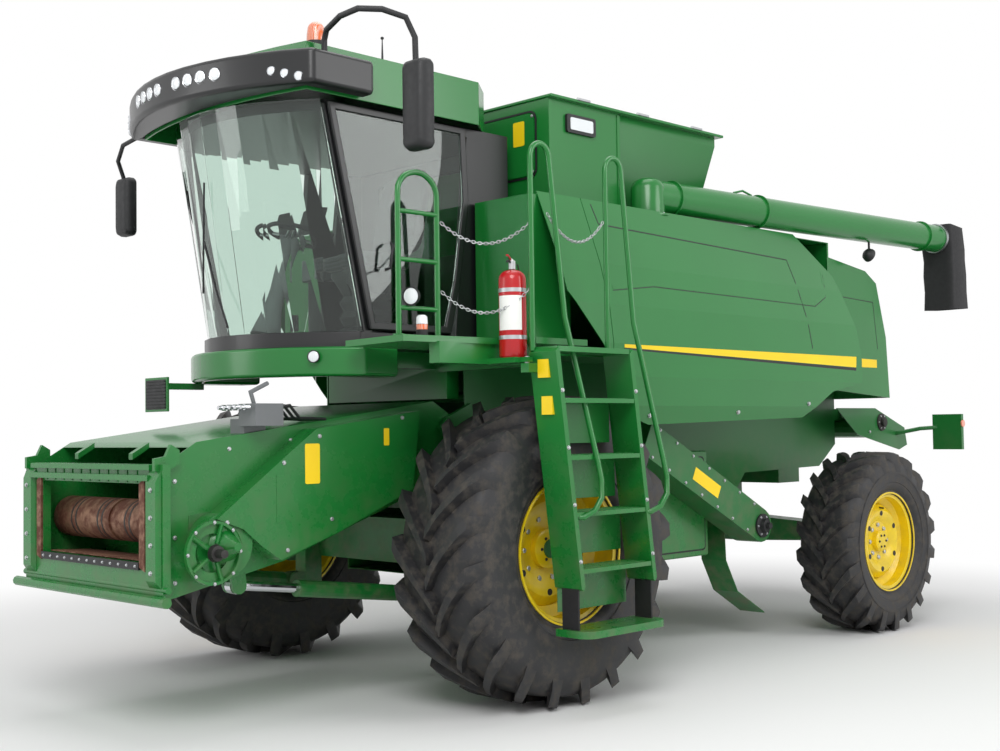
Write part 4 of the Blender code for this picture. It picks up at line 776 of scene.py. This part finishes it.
def roof_fittings():
    """Beacon with its dome and collar, and the aerial."""
    shape = Shape(AMBER)
    centre = (0.62, -1.05, 0.0)
    shape.lathe([(ROOF_TOP, 0.0), (ROOF_TOP, 0.050), (3.752, 0.050), (3.756, 0.030), (3.795, 0.030),
                 (3.80, 0.062), (3.828, 0.064), (3.832, 0.056)], centre, UP, PLASTIC, 36)
    dome = [(3.832, 0.055), (3.87, 0.054), (3.90, 0.050)] + [(3.90 + 0.050 * math.sin(t),
                                                              0.050 * math.cos(t))
                                                             for t in (math.radians(12 * k)
                                                                       for k in range(1, 8))]
    shape.lathe(dome + [(3.950, 0.0)], centre, UP, AMBER, 36)
    shape.make("beacon_lamp", "machine", "beacon", smooth=40)
    shape = Shape(PLASTIC)
    shape.lathe([(ROOF_TOP, 0.020), (3.75, 0.020), (3.76, 0.008), (3.90, 0.0035), (3.915, 0.0035),
                 (3.918, 0.010), (3.928, 0.010), (3.934, 0.0)], (0.70, -0.62, 0.0), UP, PLASTIC, 16)
    shape.make("aerial", "machine", smooth=45)


def mirrors():
    """Bent mirror arms with rounded shells and glass."""
    for end, route, radius, low, high in (("left", [(0.92, -1.22, 3.6815), (0.92, -1.22, 3.745),
                                                    (0.96, -1.235, 3.79), (1.15, -1.29, 3.81),
                                                    (1.34, -1.32, 3.80), (1.44, -1.24, 3.79),
                                                    (1.49, -1.12, 3.76), (1.505, -1.07, 3.66),
                                                    (1.51, -1.07, 3.50)], 0.0165, (1.43, -1.12, 3.06),
                                           (1.60, -1.02, 3.54)),
                                          ("right", [(-0.972, -1.20, 3.56), (-1.02, -1.20, 3.56),
                                                     (-1.30, -1.21, 3.52), (-1.44, -1.17, 3.44),
                                                     (-1.475, -1.11, 3.34), (-1.48, -1.10, 3.26)], 0.0145,
                                           (-1.56, -1.14, 2.94), (-1.40, -1.05, 3.34))):
        shape = Shape(PLASTIC)
        shape.tube(route, radius, PLASTIC, 14)
        (x0, y0, z0), (x1, y1, z1) = low, high
        rings = []
        for share, inset in ((0.0, 0.030), (0.15, 0.010), (0.5, 0.0), (0.85, 0.0), (1.0, 0.006)):
            y = y0 + (y1 - y0) * share
            rings.append([(x, y, z) for x, z in softened((x0 + inset, z0 + inset),
                                                         (x1 - inset, z1 - inset), 0.035, 5)])
        shape.rings(rings, PLASTIC)
        shape.plate(softened((x0 + 0.012, z0 + 0.012), (x1 - 0.012, z1 - 0.012), 0.03, 5), "y", y1 - 0.002,
                    y1 - 0.0005, CHROME)
        shape.make(f"mirror_{end}_unit", "machine", f"mirror_{end}", smooth=40)


def cab_inside():
    """Steering wheel and column, console, padded seat, screen, headliner and pedals."""
    shape = Shape(PLASTIC)
    foot, top = Vector((0.0, -0.98, 2.17)), Vector((0.0, -0.78, 2.80))
    way = (top - foot).normalized()
    shape.lathe([(0.0, 0.095), (0.02, 0.09), (0.16, 0.058), (0.30, 0.046), (0.50, 0.050), (0.62, 0.062),
                 (0.66, 0.04), (0.66, 0.0)], foot, way, GREY, 24)
    side = Vector(LEFT)
    up = way.cross(side)
    ring = circle(top, side, up, 0.185, 36)
    shape.tube(ring + ring[:1], 0.014, PLASTIC, 12)
    for k in range(3):
        turn = math.radians(90 + 120 * k)
        spoke = side * math.cos(turn) + up * math.sin(turn)
        shape.tube([top - way * 0.02, top + spoke * 0.18], 0.009, STEEL, 8)
    shape.lathe([(-0.04, 0.045), (-0.005, 0.042), (0.006, 0.02), (0.006, 0.0)], top, way, PLASTIC, 24)
    shape.make("steering_wheel", "machine", "steering_column", smooth=40)

    cushion = Shape(CLOTH)
    cushion.plate(softened((-0.235, -0.40), (0.235, 0.03), 0.07, 4), "z", 2.63, 2.73)
    pad = cushion.make("seat_cushion", "machine", bevel=0.03, smooth=30, subdivide=1)
    back = Shape(CLOTH)
    rings = []
    for share in (0.0, 0.08, 0.3, 0.6, 0.9, 1.0):
        y, z = 0.015 + 0.12 * share, 2.74 + 0.555 * share
        inset = 0.035 if share in (0.0, 1.0) else 0.0
        wide, thick = 0.225 - inset, 0.085 - inset
        rings.append([(x, y + b, z) for x, b in softened((-wide, 0.0 + inset / 2), (wide, thick), 0.03, 4)])
    back.rings(rings)
    pad = back.make("seat_back", "machine", smooth=40, subdivide=1)
    shape = Shape(GREY)
    rings = []
    for z, wide, deep in ((2.1605, 0.17, 0.16), (2.24, 0.17, 0.16), (2.27, 0.13, 0.12),
                          (2.33, 0.155, 0.14), (2.37, 0.13, 0.12), (2.43, 0.155, 0.14), (2.47, 0.13, 0.12),
                          (2.54, 0.16, 0.15), (2.60, 0.20, 0.17), (2.628, 0.20, 0.17)):
        rings.append([(x, y - 0.18, z) for x, y in softened((-wide, -deep), (wide, deep), 0.05, 4)])
    shape.rings(rings, PLASTIC)
    shape.make("seat_suspension", "machine", "operator_seat", smooth=40)

    shape = Shape(GREY)
    shape.rings([[(x, y, z) for x, y in softened((-0.52, -0.34), (-0.30, 0.22), 0.04)]
                 for z in (2.60, 2.74)], GREY)
    shape.rings([[(x, y, z) for x, y in softened((-0.50, -0.30), (-0.34, 0.20), 0.03)]
                 for z in (2.162, 2.60)], PLASTIC)
    shape.tube([(-0.40, -0.26, 2.74), (-0.40, -0.29, 2.84), (-0.40, -0.26, 2.90)], 0.018, PLASTIC, 12)
    shape.rings([[(-0.52 + a, -0.46 + b * 0.3, 2.88 + b) for a,
                  b in softened((0, 0), (0.24, 0.17), 0.015)], [(-0.51 + a, -0.43 + b * 0.3, 2.88 + b)
                                                                for a, b in softened((0, 0), (0.24, 0.17),
                                                                                     0.015)]], PLASTIC)
    shape.tube([(-0.42, -0.32, 2.74), (-0.42, -0.38, 2.90)], 0.010, PLASTIC, 8)
    for x in (-0.12, 0.12):
        shape.plate(softened((x - 0.035, 2.20), (x + 0.035, 2.30), 0.01), "y", -0.86, -0.845, PLASTIC)
    shape.plate(softened((-0.66, -0.98), (0.66, 0.30), 0.12), "z", 3.435, 3.462, LINER)
    shape.plate(softened((-0.30, -0.80), (0.30, -0.30), 0.06), "z", 3.415, 3.435, GREY)
    shape.make("cab_trim", "machine", bevel=0.004)


def marker_screen():
    """Ribbed black screen on the marker board."""
    shape = Shape(PLASTIC)
    shape.plate(softened((-0.645, 1.735), (-0.415, 1.915), 0.01), "y", -1.4235, -1.4203, PLASTIC)
    for k in range(9):
        z = 1.745 + 0.02 * k
        shape.tube([(-0.64, -1.4245, z), (-0.42, -1.4245, z)], 0.003, PLASTIC, 8)
    shape.make("marker_screen", "machine", smooth=45)


def cab_outside():
    """Wiper, nose lamp and door handle."""
    shape = Shape(PLASTIC)
    shape.tube([(0.10, -1.315, 2.20), (0.02, -1.34, 2.42), (-0.06, -1.372, 2.72)], 0.007, PLASTIC, 8)
    shape.tube([(-0.13, -1.335, 2.42), (-0.06, -1.376, 2.74), (0.0, -1.408, 3.06)], 0.006, PLASTIC, 8)
    shape.make("wiper", "machine", smooth=45)
    lamp("nose_lamp", "machine", (0.66, -1.115, 2.01), (0.55, -0.82, 0.05), 0.036, CLEAR)
    shape = Shape(PLASTIC)
    shape.tube([(0.802, -0.70, 2.52), (0.835, -0.69, 2.53), (0.838, -0.67, 2.66), (0.805, -0.66, 2.68)],
               0.009, PLASTIC, 10)
    shape.make("door_handle", "door", smooth=45)


# ---------------------------------------------------------------- feeder house
def feeder_details():
    """Mouth lining, guide plates, wear strip, latch hooks, bolts and drive of the feeder house."""
    shape = Shape(GREEN_DARK)
    face = -2.1405
    for side in (1, -1):
        x0, x1 = sorted((side * 0.545, side * 0.60))
        shape.plate([(x0, 0.90), (x1, 0.88), (x1, 1.36), (x0, 1.33)], "y", face - 0.012, face, RUST)
        x0, x1 = sorted((side * 0.63, side * 0.745))
        shape.rings([[(x0, face, 0.80), (x1, face, 0.80), (x1, face, 1.40), (x0, face, 1.40)],
                     [(x0 + 0.01, face - 0.028, 0.84), (x1 - 0.01, face - 0.028, 0.84),
                      (x1 - 0.01, face - 0.028, 1.34), (x0 + 0.01, face - 0.028, 1.34)]], GREEN)
        for z in (0.88, 1.02, 1.16, 1.30):
            shape.bolt((side * 0.69, face - 0.028, z), FRONT, 0.011, STEEL)
        hook = [(-2.165, 1.395), (-2.10, 1.39), (-2.02, 1.43), (-2.02, 1.50), (-2.07, 1.53), (-2.10, 1.47),
                (-2.165, 1.46)]
        shape.plate(hook, "x", *sorted((side * 0.70, side * 0.725)), GREEN)
        # Side plates in the darker green enamel: painted shade.
        shape.plate([(-1.95, 0.86), (-1.60, 0.94), (-1.60, 1.20), (-1.95, 1.16)], "x",
                    *sorted((side * HOUSE_SIDE, side * 0.6925)), GREEN_DARK)
        for y, z in ((-2.03, 0.82), (-2.03, 1.05), (-2.03, 1.34), (-1.70, 1.50), (-1.30, 1.54),
                     (-0.80, 1.62)):
            shape.bolt((side * HOUSE_SIDE, y, z), (side, 0, 0), 0.010, STEEL)
    shape.plate([(-0.54, 0.885), (0.54, 0.885), (0.54, 0.925), (-0.54, 0.925)], "y", face - 0.014, face,
                PLASTIC)
    for k in range(13):
        shape.bolt((-0.51 + 0.085 * k, face - 0.014, 0.905), FRONT, 0.007, STEEL)
    shape.rings([[(-0.535, -2.10, 0.925), (0.535, -2.10, 0.925), (0.535, -1.85, 0.912),
                  (-0.535, -1.85, 0.912)], [(-0.535, -2.10, 0.931), (0.535, -2.10, 0.931),
                                            (0.535, -1.85, 0.918), (-0.535, -1.85, 0.918)]], RUST)
    # Ribs in the darker green, between the two proud plates above them: painted shade.
    for k in range(11):
        x = -0.50 + 0.10 * k
        shape.plate([(x - 0.012, 1.335), (x + 0.012, 1.335), (x + 0.012, 1.425), (x - 0.012, 1.425)], "y",
                    face - 0.004, face, GREEN_DARK)
    shape.plate([(-0.66, 1.345), (0.66, 1.345), (0.66, 1.375), (-0.66, 1.375)], "y", face - 0.030, face,
                GREEN)
    shape.plate([(-0.66, 1.40), (0.66, 1.40), (0.66, 1.428), (-0.66, 1.428)], "y", face - 0.020, face,
                GREEN)
    for x in (-0.30, 0.30):
        shape.plate([(-2.06, 1.449), (-1.96, 1.508), (-1.96, 1.540), (-2.06, 1.482)], "x", x - 0.02, x
                    + 0.02, GREEN)
    shape.tube([(-0.79, -2.125, 0.795), (0.79, -2.125, 0.795)], 0.018, GREEN, 16)
    shape.make("feeder_fittings", "feeder", bevel=0.002)

    shape = Shape(RUST)
    centre = (0.0, -1.90, 1.11)
    shape.lathe([(-0.688, 0.0), (-0.688, 0.0295), (-0.674, 0.0295), (-0.674, 0.105), (-0.66, 0.118),
                 (-0.02, 0.118), (-0.02, 0.108), (0.02, 0.108), (0.02, 0.118), (0.66, 0.118),
                 (0.674, 0.105), (0.674, 0.0295), (0.688, 0.0295), (0.688, 0.0)], centre, LEFT, RUST, 40)
    for x in (-0.45, -0.15, 0.15, 0.45):
        for k in range(2):
            shape.lathe([(0.0, 0.119), (0.014, 0.119)], (x + 0.05 * k, -1.90, 1.11), LEFT, IRON, 40)
    shape.make("drum_worn", "drum", "feeder_drum", smooth=40)

    shape = Shape(GREEN)
    hub = (0.845, -1.89, 0.97)
    shape.lathe([(-0.03, 0.165), (-0.005, 0.165), (-0.005, 0.150), (-0.025, 0.145), (-0.025, 0.10),
                 (-0.03, 0.10)], hub, LEFT, GREEN, 40, closed=True)
    for k in range(5):
        turn = 2 * math.pi * k / 5
        shape.tube([(0.835, -1.89 + math.cos(turn) * r, 0.97 + math.sin(turn) * r) for r in (0.05, 0.152)],
                   0.012, GREEN, 8)
    shape.lathe([(0.0, 0.045), (0.03, 0.040), (0.032, 0.024), (0.09, 0.022), (0.092, 0.0)], hub, LEFT,
                IRON, 24)
    shape.bolts((0.842, -1.89, 0.97), LEFT, 0.157, 8, 0.008, STEEL)
    shape.plate(softened((-1.49, 1.10), (-1.40, 1.36), 0.008), "x", SHIELD_FACE, SHIELD_FACE + 0.001, GREEN)
    for y, z in ((-1.80, 1.12), (-1.44, 1.42), (-1.20, 1.56), (-0.60, 1.66), (-1.12, 1.10), (-1.42, 0.95)):
        shape.bolt((SHIELD_FACE, y, z), LEFT, 0.010, STEEL)
    shape.make("feeder_drive", "feeder", smooth=40)
    shape = Shape(DECAL)
    shape.plate(softened((-1.30, 1.30), (-1.20, 1.52), 0.01), "x", SHIELD_FACE, SHIELD_FACE + 0.001)
    shape.plate(softened((-0.74, 1.50), (-0.70, 1.60), 0.006), "x", SHIELD_FACE, SHIELD_FACE + 0.001)
    shape.make("feeder_plates", "feeder")

    shape = Shape(GREY)
    low, high = [Vector(c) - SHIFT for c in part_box("multicoupler")]
    for k in range(5):
        x = low.x + (high.x - low.x) * (k + 0.5) / 5
        shape.lathe([(0.0, 0.016), (0.03, 0.016), (0.03, 0.011), (0.05, 0.011), (0.05, 0.0)],
                    (x, low.y + 0.001, (low.z + high.z) / 2), FRONT, CHROME, 16)
        shape.tube([(x, high.y - 0.01, (low.z + high.z) / 2), (x, high.y + 0.06, (low.z + high.z) / 2
                                                               + 0.01),
                    (x - 0.02, high.y + 0.14, (low.z + high.z) / 2 - 0.06),
                    (x - 0.04, high.y + 0.20, 1.66), (x - 0.05, high.y + 0.34, 1.655)], 0.009, PLASTIC, 10)
    shape.make("coupler_fittings", "feeder", smooth=45)


# ---------------------------------------------------------------- platform, ladder and rails
LADDER_X = 1.70
HINGE_Y = -0.475


def rails():
    """The platform's round rail with its rungs and foot plates, its lamp and its side marker."""
    x, y0, y1, top = 1.36, -1.08, -0.80, 2.86
    shape = Shape(GREEN)
    shape.tube([(x, y0, DECK)] + hoop((x, y0, top), (x, y1, top), 0.12, 16) + [(x, y1, DECK)], 0.016,
               GREEN, 14)
    for z in (2.24, 2.50, 2.76):
        shape.tube([(x, y0, z), (x, y1, z)], 0.013, GREEN, 12)
    for y in (y0, y1):
        shape.lathe([(DECK, 0.0), (DECK, 0.034), (2.098, 0.034), (2.10, 0.02)], (x, y, 0.0), UP, GREEN, 20)
    shape.make("rail_hoop", "machine", "platform_rail", smooth=40)
    lamp("platform_lamp", "machine", (1.395, -1.02, 2.30), (0.35, -0.93, -0.05), 0.050, CLEAR,
         (1.365, -0.98, 2.26))
    shape = Shape(AMBER)
    shape.lathe([(DECK, 0.0), (DECK, 0.032), (2.12, 0.034), (2.125, 0.026)], (1.41, -0.96, 0.0), UP,
                PLASTIC, 24)
    shape.lathe([(2.122, 0.030), (2.15, 0.032), (2.152, 0.0)], (1.41, -0.96, 0.0), UP, AMBER, 24)
    shape.lathe([(2.152, 0.0), (2.152, 0.032), (2.19, 0.030), (2.20, 0.02), (2.20, 0.0)],
                (1.41, -0.96, 0.0), UP, CLEAR, 24)
    shape.make("side_marker", "machine", smooth=45)


def ladder_and_rails():
    """Side plates, ribbed treads, closed back, hinge, toe flaps, long hand rails and safety chains."""
    top, foot, width = Vector((-0.44, 2.03)), Vector((-0.26, 0.70)), 0.62
    x0, x1 = LADDER_X, LADDER_X + 0.20
    shape = Shape(GREEN)
    for along in (0.0, width):
        outline = [(top.x + along, top.y - 0.03), (top.x + along + 0.03, top.y),
                   (foot.x + along + 0.03, foot.y + 0.02), (foot.x + along + 0.015, foot.y),
                   (foot.x + along, foot.y + 0.01)]
        shape.plate(outline, "x", x0, x1, GREEN)
    for k in range(4):
        z = 1.75 - 0.31 * k
        y = top.x + (foot.x - top.x) * (top.y - z) / (top.y - foot.y)
        shape.plate(softened((x0 + 0.001, y + 0.03), (x1 - 0.001, y + width), 0.006), "z", z - 0.028,
                    z - 0.003, GREEN)
        for n in range(4):
            shape.block((x0 + 0.02 + 0.045 * n, y + 0.05, z - 0.004),
                        (x0 + 0.032 + 0.045 * n, y + width - 0.02, z), GREEN)
        shape.plate([(x0 + 0.003, z - 0.25), (x0 + 0.006, z - 0.25), (x0 + 0.006, z - 0.028),
                     (x0 + 0.003, z - 0.028)], "y", y + 0.03, y + width, GREEN)
    shape.plate(softened((x0 + 0.002, top.x + 0.02), (x1 - 0.002, top.x + width), 0.006), "z", 2.00,
                2.0295, GREEN)
    bottom = ([(x0 + 0.02, foot.x - 0.02)] + arc((x1 - 0.02, foot.x + 0.06), 0.08, -90, 0, 5)
              + arc((x1 - 0.02, foot.x + width - 0.02), 0.08, 0, 90, 5)
              + [(x0 + 0.02, foot.x + width + 0.06)])
    shape.plate(bottom, "z", 0.445, 0.485, GREEN)
    for a in (0.002, width + 0.009):
        shape.rings([[(x, foot.x + a + dy, z) for x, dy in ((x0 + 0.05, 0.0), (x0 + 0.17, 0.0),
                                                            (x0 + 0.17, 0.012), (x0 + 0.05, 0.012))]
                     for z in (0.47, 0.54, 0.62, 0.72)], SOFT)
    for along in (0.0, width):
        for z in (0.86, 1.17, 1.48, 1.79):
            y = top.x + along + (foot.x - top.x) * (top.y - z) / (top.y - foot.y)
            shape.bolt((x1, y + 0.015, z), LEFT, 0.010, STEEL)
    low = 1.975 - 0.029 - 0.006
    shape.block((LADDER_X, HINGE_Y - 0.03, low - 0.05), (LADDER_X + 0.06, top.x + 0.02, low), GREEN)
    shape.lathe([(low - 0.02, 0.0), (low - 0.02, 0.0139), (1.979, 0.0139), (1.979, 0.0)],
                (1.72, HINGE_Y, 0.0), UP, STEEL, 20)
    for y0, y1, lean in ((-0.43, -0.30, -0.12), (0.20, 0.32, 0.46)):
        inner = (LADDER_X + 0.02, y0)
        path = [(*inner, 2.01), (*inner, 2.55), (*inner, 3.05)] + hoop((*inner, 3.08),
                                                                       (LADDER_X + 0.04, y1, 3.08), 0.08,
                                                                       14)
        path += [(LADDER_X + 0.06, (y1 + lean) / 2, 2.2), (1.915, lean - 0.01, 1.40), (1.93, lean, 1.30),
                 (1.938, lean - 0.01, 1.20), (1.93, lean - 0.06, 1.13), (1.905, lean - 0.12, 1.10),
                 (1.88, lean - 0.14, 1.10)]
        shape.tube(path, 0.0158, GREEN, 14)
    shape.make("ladder_formed", "access_ladder", "ladder", bevel=0.0015)
    shape = Shape(DECAL)
    tall = 0.10
    for z in (1.86, 1.66):
        y = top.x + (foot.x - top.x) * (top.y - z) / (top.y - foot.y)
        shape.plate([(x0 + 0.06, z), (x0 + 0.14, z), (x0 + 0.14, z + tall), (x0 + 0.06, z + tall)], "y",
                    y - 0.0185, y - 0.003)
    shape.make("ladder_plates", "access_ladder")
    for name, first, second, sag in (("upper", (1.72, -0.43, 2.72), (1.38, -0.79, 2.72), 0.12),
                                     ("lower", (1.72, -0.43, 2.36), (1.38, -0.79, 2.34), 0.13)):
        chain(f"safety_chain_{name}", "access_ladder", first, second, sag)
    chain("safety_chain_gate", "access_ladder", (1.72, -0.30, 2.78), (1.72, 0.18, 2.78), 0.14)


def chain(name, body, first, second, sag):
    """Short-link safety chain, hanging between two points."""
    shape = Shape(STEEL)
    a, b = Vector(first), Vector(second)
    count = int(((b - a).length + sag) / 0.021)
    spots = [a.lerp(b, k / count) - Vector((0, 0, sag * 4 * (k / count) * (1 - k / count)))
             for k in range(count + 1)]
    for k in range(count):
        middle_point, way = (spots[k] + spots[k + 1]) / 2, (spots[k + 1] - spots[k]).normalized()
        way, side, up = square_to(way)
        flat = side if k % 2 else up
        loop = []
        for n in range(13):
            turn = 2 * math.pi * n / 12
            loop.append(middle_point + way * 0.014 * math.cos(turn) + flat * 0.0075 * math.sin(turn))
        shape.tube(loop, 0.0024, STEEL, 6)
    shape.make(name, body, smooth=60)


def extinguisher():
    """Red pressure cylinder with its valve, lever, hose, clamp bands and blank label."""
    x, y, z = 1.60, -0.46, 1.9755
    shape = Shape(RED)
    profile = [(z + 0.004, 0.0), (z + 0.002, 0.060), (z, 0.070), (z + 0.012, 0.0765), (z + 0.430, 0.0765)]
    profile += [(z + 0.430 + 0.055 * math.sin(t), 0.022 + 0.0545 * math.cos(t))
                for t in (math.radians(15 * k) for k in range(1, 7))] + [(z + 0.495, 0.0)]
    shape.lathe(profile, (x, y, 0.0), UP, RED, 40)
    shape.lathe([(z + 0.490, 0.020), (z + 0.535, 0.020), (z + 0.54, 0.012), (z + 0.55, 0.0)], (x, y, 0.0),
                UP, STEEL, 20)
    for low in (0.10, 0.36):
        shape.lathe([(z + low, 0.0767), (z + low + 0.022, 0.0767), (z + low + 0.022, 0.0778),
                     (z + low, 0.0778)], (x, y, 0.0), UP, STEEL, 40, closed=True)
    shape.tube([(x, y - 0.01, z + 0.545), (x + 0.02, y - 0.05, z + 0.562),
                (x + 0.03, y - 0.07, z + 0.560)], 0.006, RED, 8)
    shape.tube([(x, y - 0.01, z + 0.525), (x + 0.02, y - 0.05, z + 0.535),
                (x + 0.025, y - 0.065, z + 0.525)], 0.006, PLASTIC, 8)
    shape.tube([(x, y + 0.02, z + 0.52), (x - 0.01, y + 0.055, z + 0.52), (x - 0.015, y + 0.074, z + 0.48),
                (x - 0.02, y + 0.074, z + 0.42), (x - 0.03, y + 0.071, z + 0.30),
                (x - 0.035, y + 0.070, z + 0.16)], 0.0035, PLASTIC, 10)
    label = ((0.0764, z + 0.15), (0.0772, z + 0.15), (0.0772, z + 0.34), (0.0764, z + 0.34))
    shape.rings([[(x + math.cos(t) * r, y + math.sin(t) * r, h) for r, h in label]
                 for t in (math.radians(-115 + 10 * k) for k in range(12))], WHITE)
    shape.make("extinguisher_unit", "machine", "fire_extinguisher", smooth=40)


# ---------------------------------------------------------------- lower left side and rear
def side_details():
    """Box door, catches, elevator bolts and bearing, blank plates and reflectors."""
    shape = Shape(GREEN)
    ring, inner = softened((1.40, 0.70), (2.12, 1.37), 0.03), softened((1.408, 0.708), (2.112, 1.362),
                                                                       0.025)
    shape.rings([[(BOX_FACE, y, z) for y, z in ring], [(0.9735, y, z) for y, z in ring],
                 [(0.9735, y, z) for y, z in inner], [(BOX_FACE, y, z) for y, z in inner]], PLASTIC,
                closed=True)
    shape.plate(softened((1.412, 0.712), (2.108, 1.358), 0.022), "x", BOX_FACE, 0.9760, GREEN)
    for z in (0.82, 1.26):
        shape.plate(softened((1.385, z - 0.04), (1.425, z + 0.04), 0.006), "x", 0.976, 0.984, STEEL)
    shape.lathe([(0.0, 0.022), (0.012, 0.022), (0.014, 0.016), (0.022, 0.0)], (0.976, 2.05, 1.04), LEFT,
                PLASTIC, 20)
    shape.plate(softened((1.95, 1.16), (2.06, 1.20), 0.005), "x", 0.976, 0.9765, DECAL)
    shape.lathe([(0.0, 0.030), (0.008, 0.028), (0.010, 0.0)], (BOX_FACE, 1.385, 0.69), LEFT, AMBER, 20)
    a, b = Vector((1.20, 1.52)), Vector((2.50, 0.86))
    way = (b - a).normalized()
    across = Vector((-way.y, way.x))
    for k in range(7):
        for s in (1, -1):
            p = a + way * (0.10 + 0.20 * k) + across * 0.10 * s
            shape.bolt((LEG_FACE, p.x, p.y), LEFT, 0.009, STEEL)
    shape.lathe([(0.0, 0.085), (0.014, 0.085), (0.018, 0.05), (0.045, 0.045), (0.048, 0.025),
                 (0.075, 0.022), (0.075, 0.0)], (LEG_FACE, b.x, b.y), LEFT, PLASTIC, 32)
    shape.bolts((1.2145, b.x, b.y), LEFT, 0.068, 6, 0.008, STEEL)
    p = a + way * 0.72
    corner = [p + way * u + across * v for u, v in ((-0.16, -0.045), (0.16, -0.045), (0.16, 0.045),
                                                    (-0.16, 0.045))]
    shape.plate([tuple(c) for c in corner], "x", LEG_FACE, 1.2012, DECAL)
    shape.make("left_side_fittings", "machine", smooth=40)


def rear_details():
    """Chopper side plates with their bolts and brackets, tail lamps, reflectors, hood lines and lamp."""
    shape = Shape(GREEN_DARK)
    for side in (1, -1):
        x = skin("straw_chopper", side, 4.70, 1.60) or side * 0.95
        for y, z in ((4.50, 1.52), (4.50, 1.74), (4.72, 1.76), (4.95, 1.72)):
            found = skin("straw_chopper", side, y, z)
            if found and abs(found - x) < 0.03:
                shape.bolt((found, y, z), (side, 0, 0), 0.011, STEEL)
        shape.lathe([(0.0, 0.075), (0.012, 0.072), (0.016, 0.04), (0.04, 0.036), (0.042, 0.0)],
                    (x, 4.70, 1.60), (side, 0, 0), IRON, 32)
        shape.bolts((x + side * 0.012, 4.70, 1.60), (side, 0, 0), 0.057, 6, 0.007, STEEL)
    shape.make("chopper_fittings", "machine", smooth=40)
    shape = Shape(RED_LENS)
    for side in (1, -1):
        for k, glass in enumerate((RED_LENS, AMBER)):
            x0 = side * 1.38 + side * (-0.09 + 0.10 * k)
            a, b = sorted((x0, x0 + side * 0.085))
            shape.plate(softened((a, 1.44), (b, 1.58), 0.012), "y", BOARD_FACE, 5.090, PLASTIC)
            shape.plate(softened((a + 0.006, 1.446), (b - 0.006, 1.574), 0.010), "y", 5.090, 5.100, glass)
        shape.lathe([(0.0, 0.030), (0.010, 0.030), (0.012, 0.0)], (side * 1.5105, 5.05, 1.58),
                    (side, 0, 0), AMBER, 20)
    shape.make("tail_lamps", "machine", bevel=0.001)
    for side, end in SIDES:
        shape = Shape(PLASTIC)
        seam_and_painted_shadow(shape, "rear_hood", side, [(3.62, 2.60), (4.16, 2.58), (4.22, 2.20)], 0.006, PLASTIC)
        shape.make(f"hood_joint_{end}", "machine")
    lamp("rear_work_lamp", "machine", (1.235, 3.72, 1.95), (1.0, 0.2, -0.2), 0.045, CLEAR,
         (1.18, 3.70, 2.05))


# ---------------------------------------------------------------- the whole machine
def finish_nodes():
    """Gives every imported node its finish, and pressed sheets their rounded edges."""
    slots = {part["node"]: part["material_slot"] for part in frame["record"]["subparts"]}
    for name, thing in frame["nodes"].items():
        paint = GREEN_DARK if name in SHADED_DUSTY_PARTS else BY_SLOT[slots[name]]
        thing.data.materials.clear()
        thing.data.materials.append(paint)
        for face in thing.data.polygons:
            face.material_index = 0
    of_body = {node: body for body, nodes in frame["record"]["behaviour"]["bodies"].items()
               for node in nodes}
    for node, edge in (("cab_roof", 0.035), ("light_visor", 0.030), ("cab_nose", 0.020),
                       ("rear_hood", 0.030), ("side_box", 0.012), ("elevator_leg", 0.008),
                       ("feeder_house", 0.006), ("feeder_shield", 0.006), ("platform", 0.004),
                       ("upper_body", 0.006), ("cab_frame", 0.006), ("cab_door", 0.008),
                       ("tank_lid_left", 0.006), ("tank_lid_right", 0.006), ("grain_tank", 0.003),
                       ("chassis", 0.003), ("chaff_deflector", 0.002), ("multicoupler", 0.004),
                       ("marker_board", 0.003)):
        paint = GREEN_DARK if node in SHADED_DUSTY_PARTS else BY_SLOT[slots[node]]
        rounded(node, of_body[node], paint, edge)


for part in (camera, studio, finish_nodes, wheels, stripes, panel_details, tank_details, auger, visor_lamps,
             roof_fittings, mirrors, cab_inside, cab_outside, marker_screen, feeder_details, rails,
             ladder_and_rails, extinguisher, side_details, rear_details):
    part()
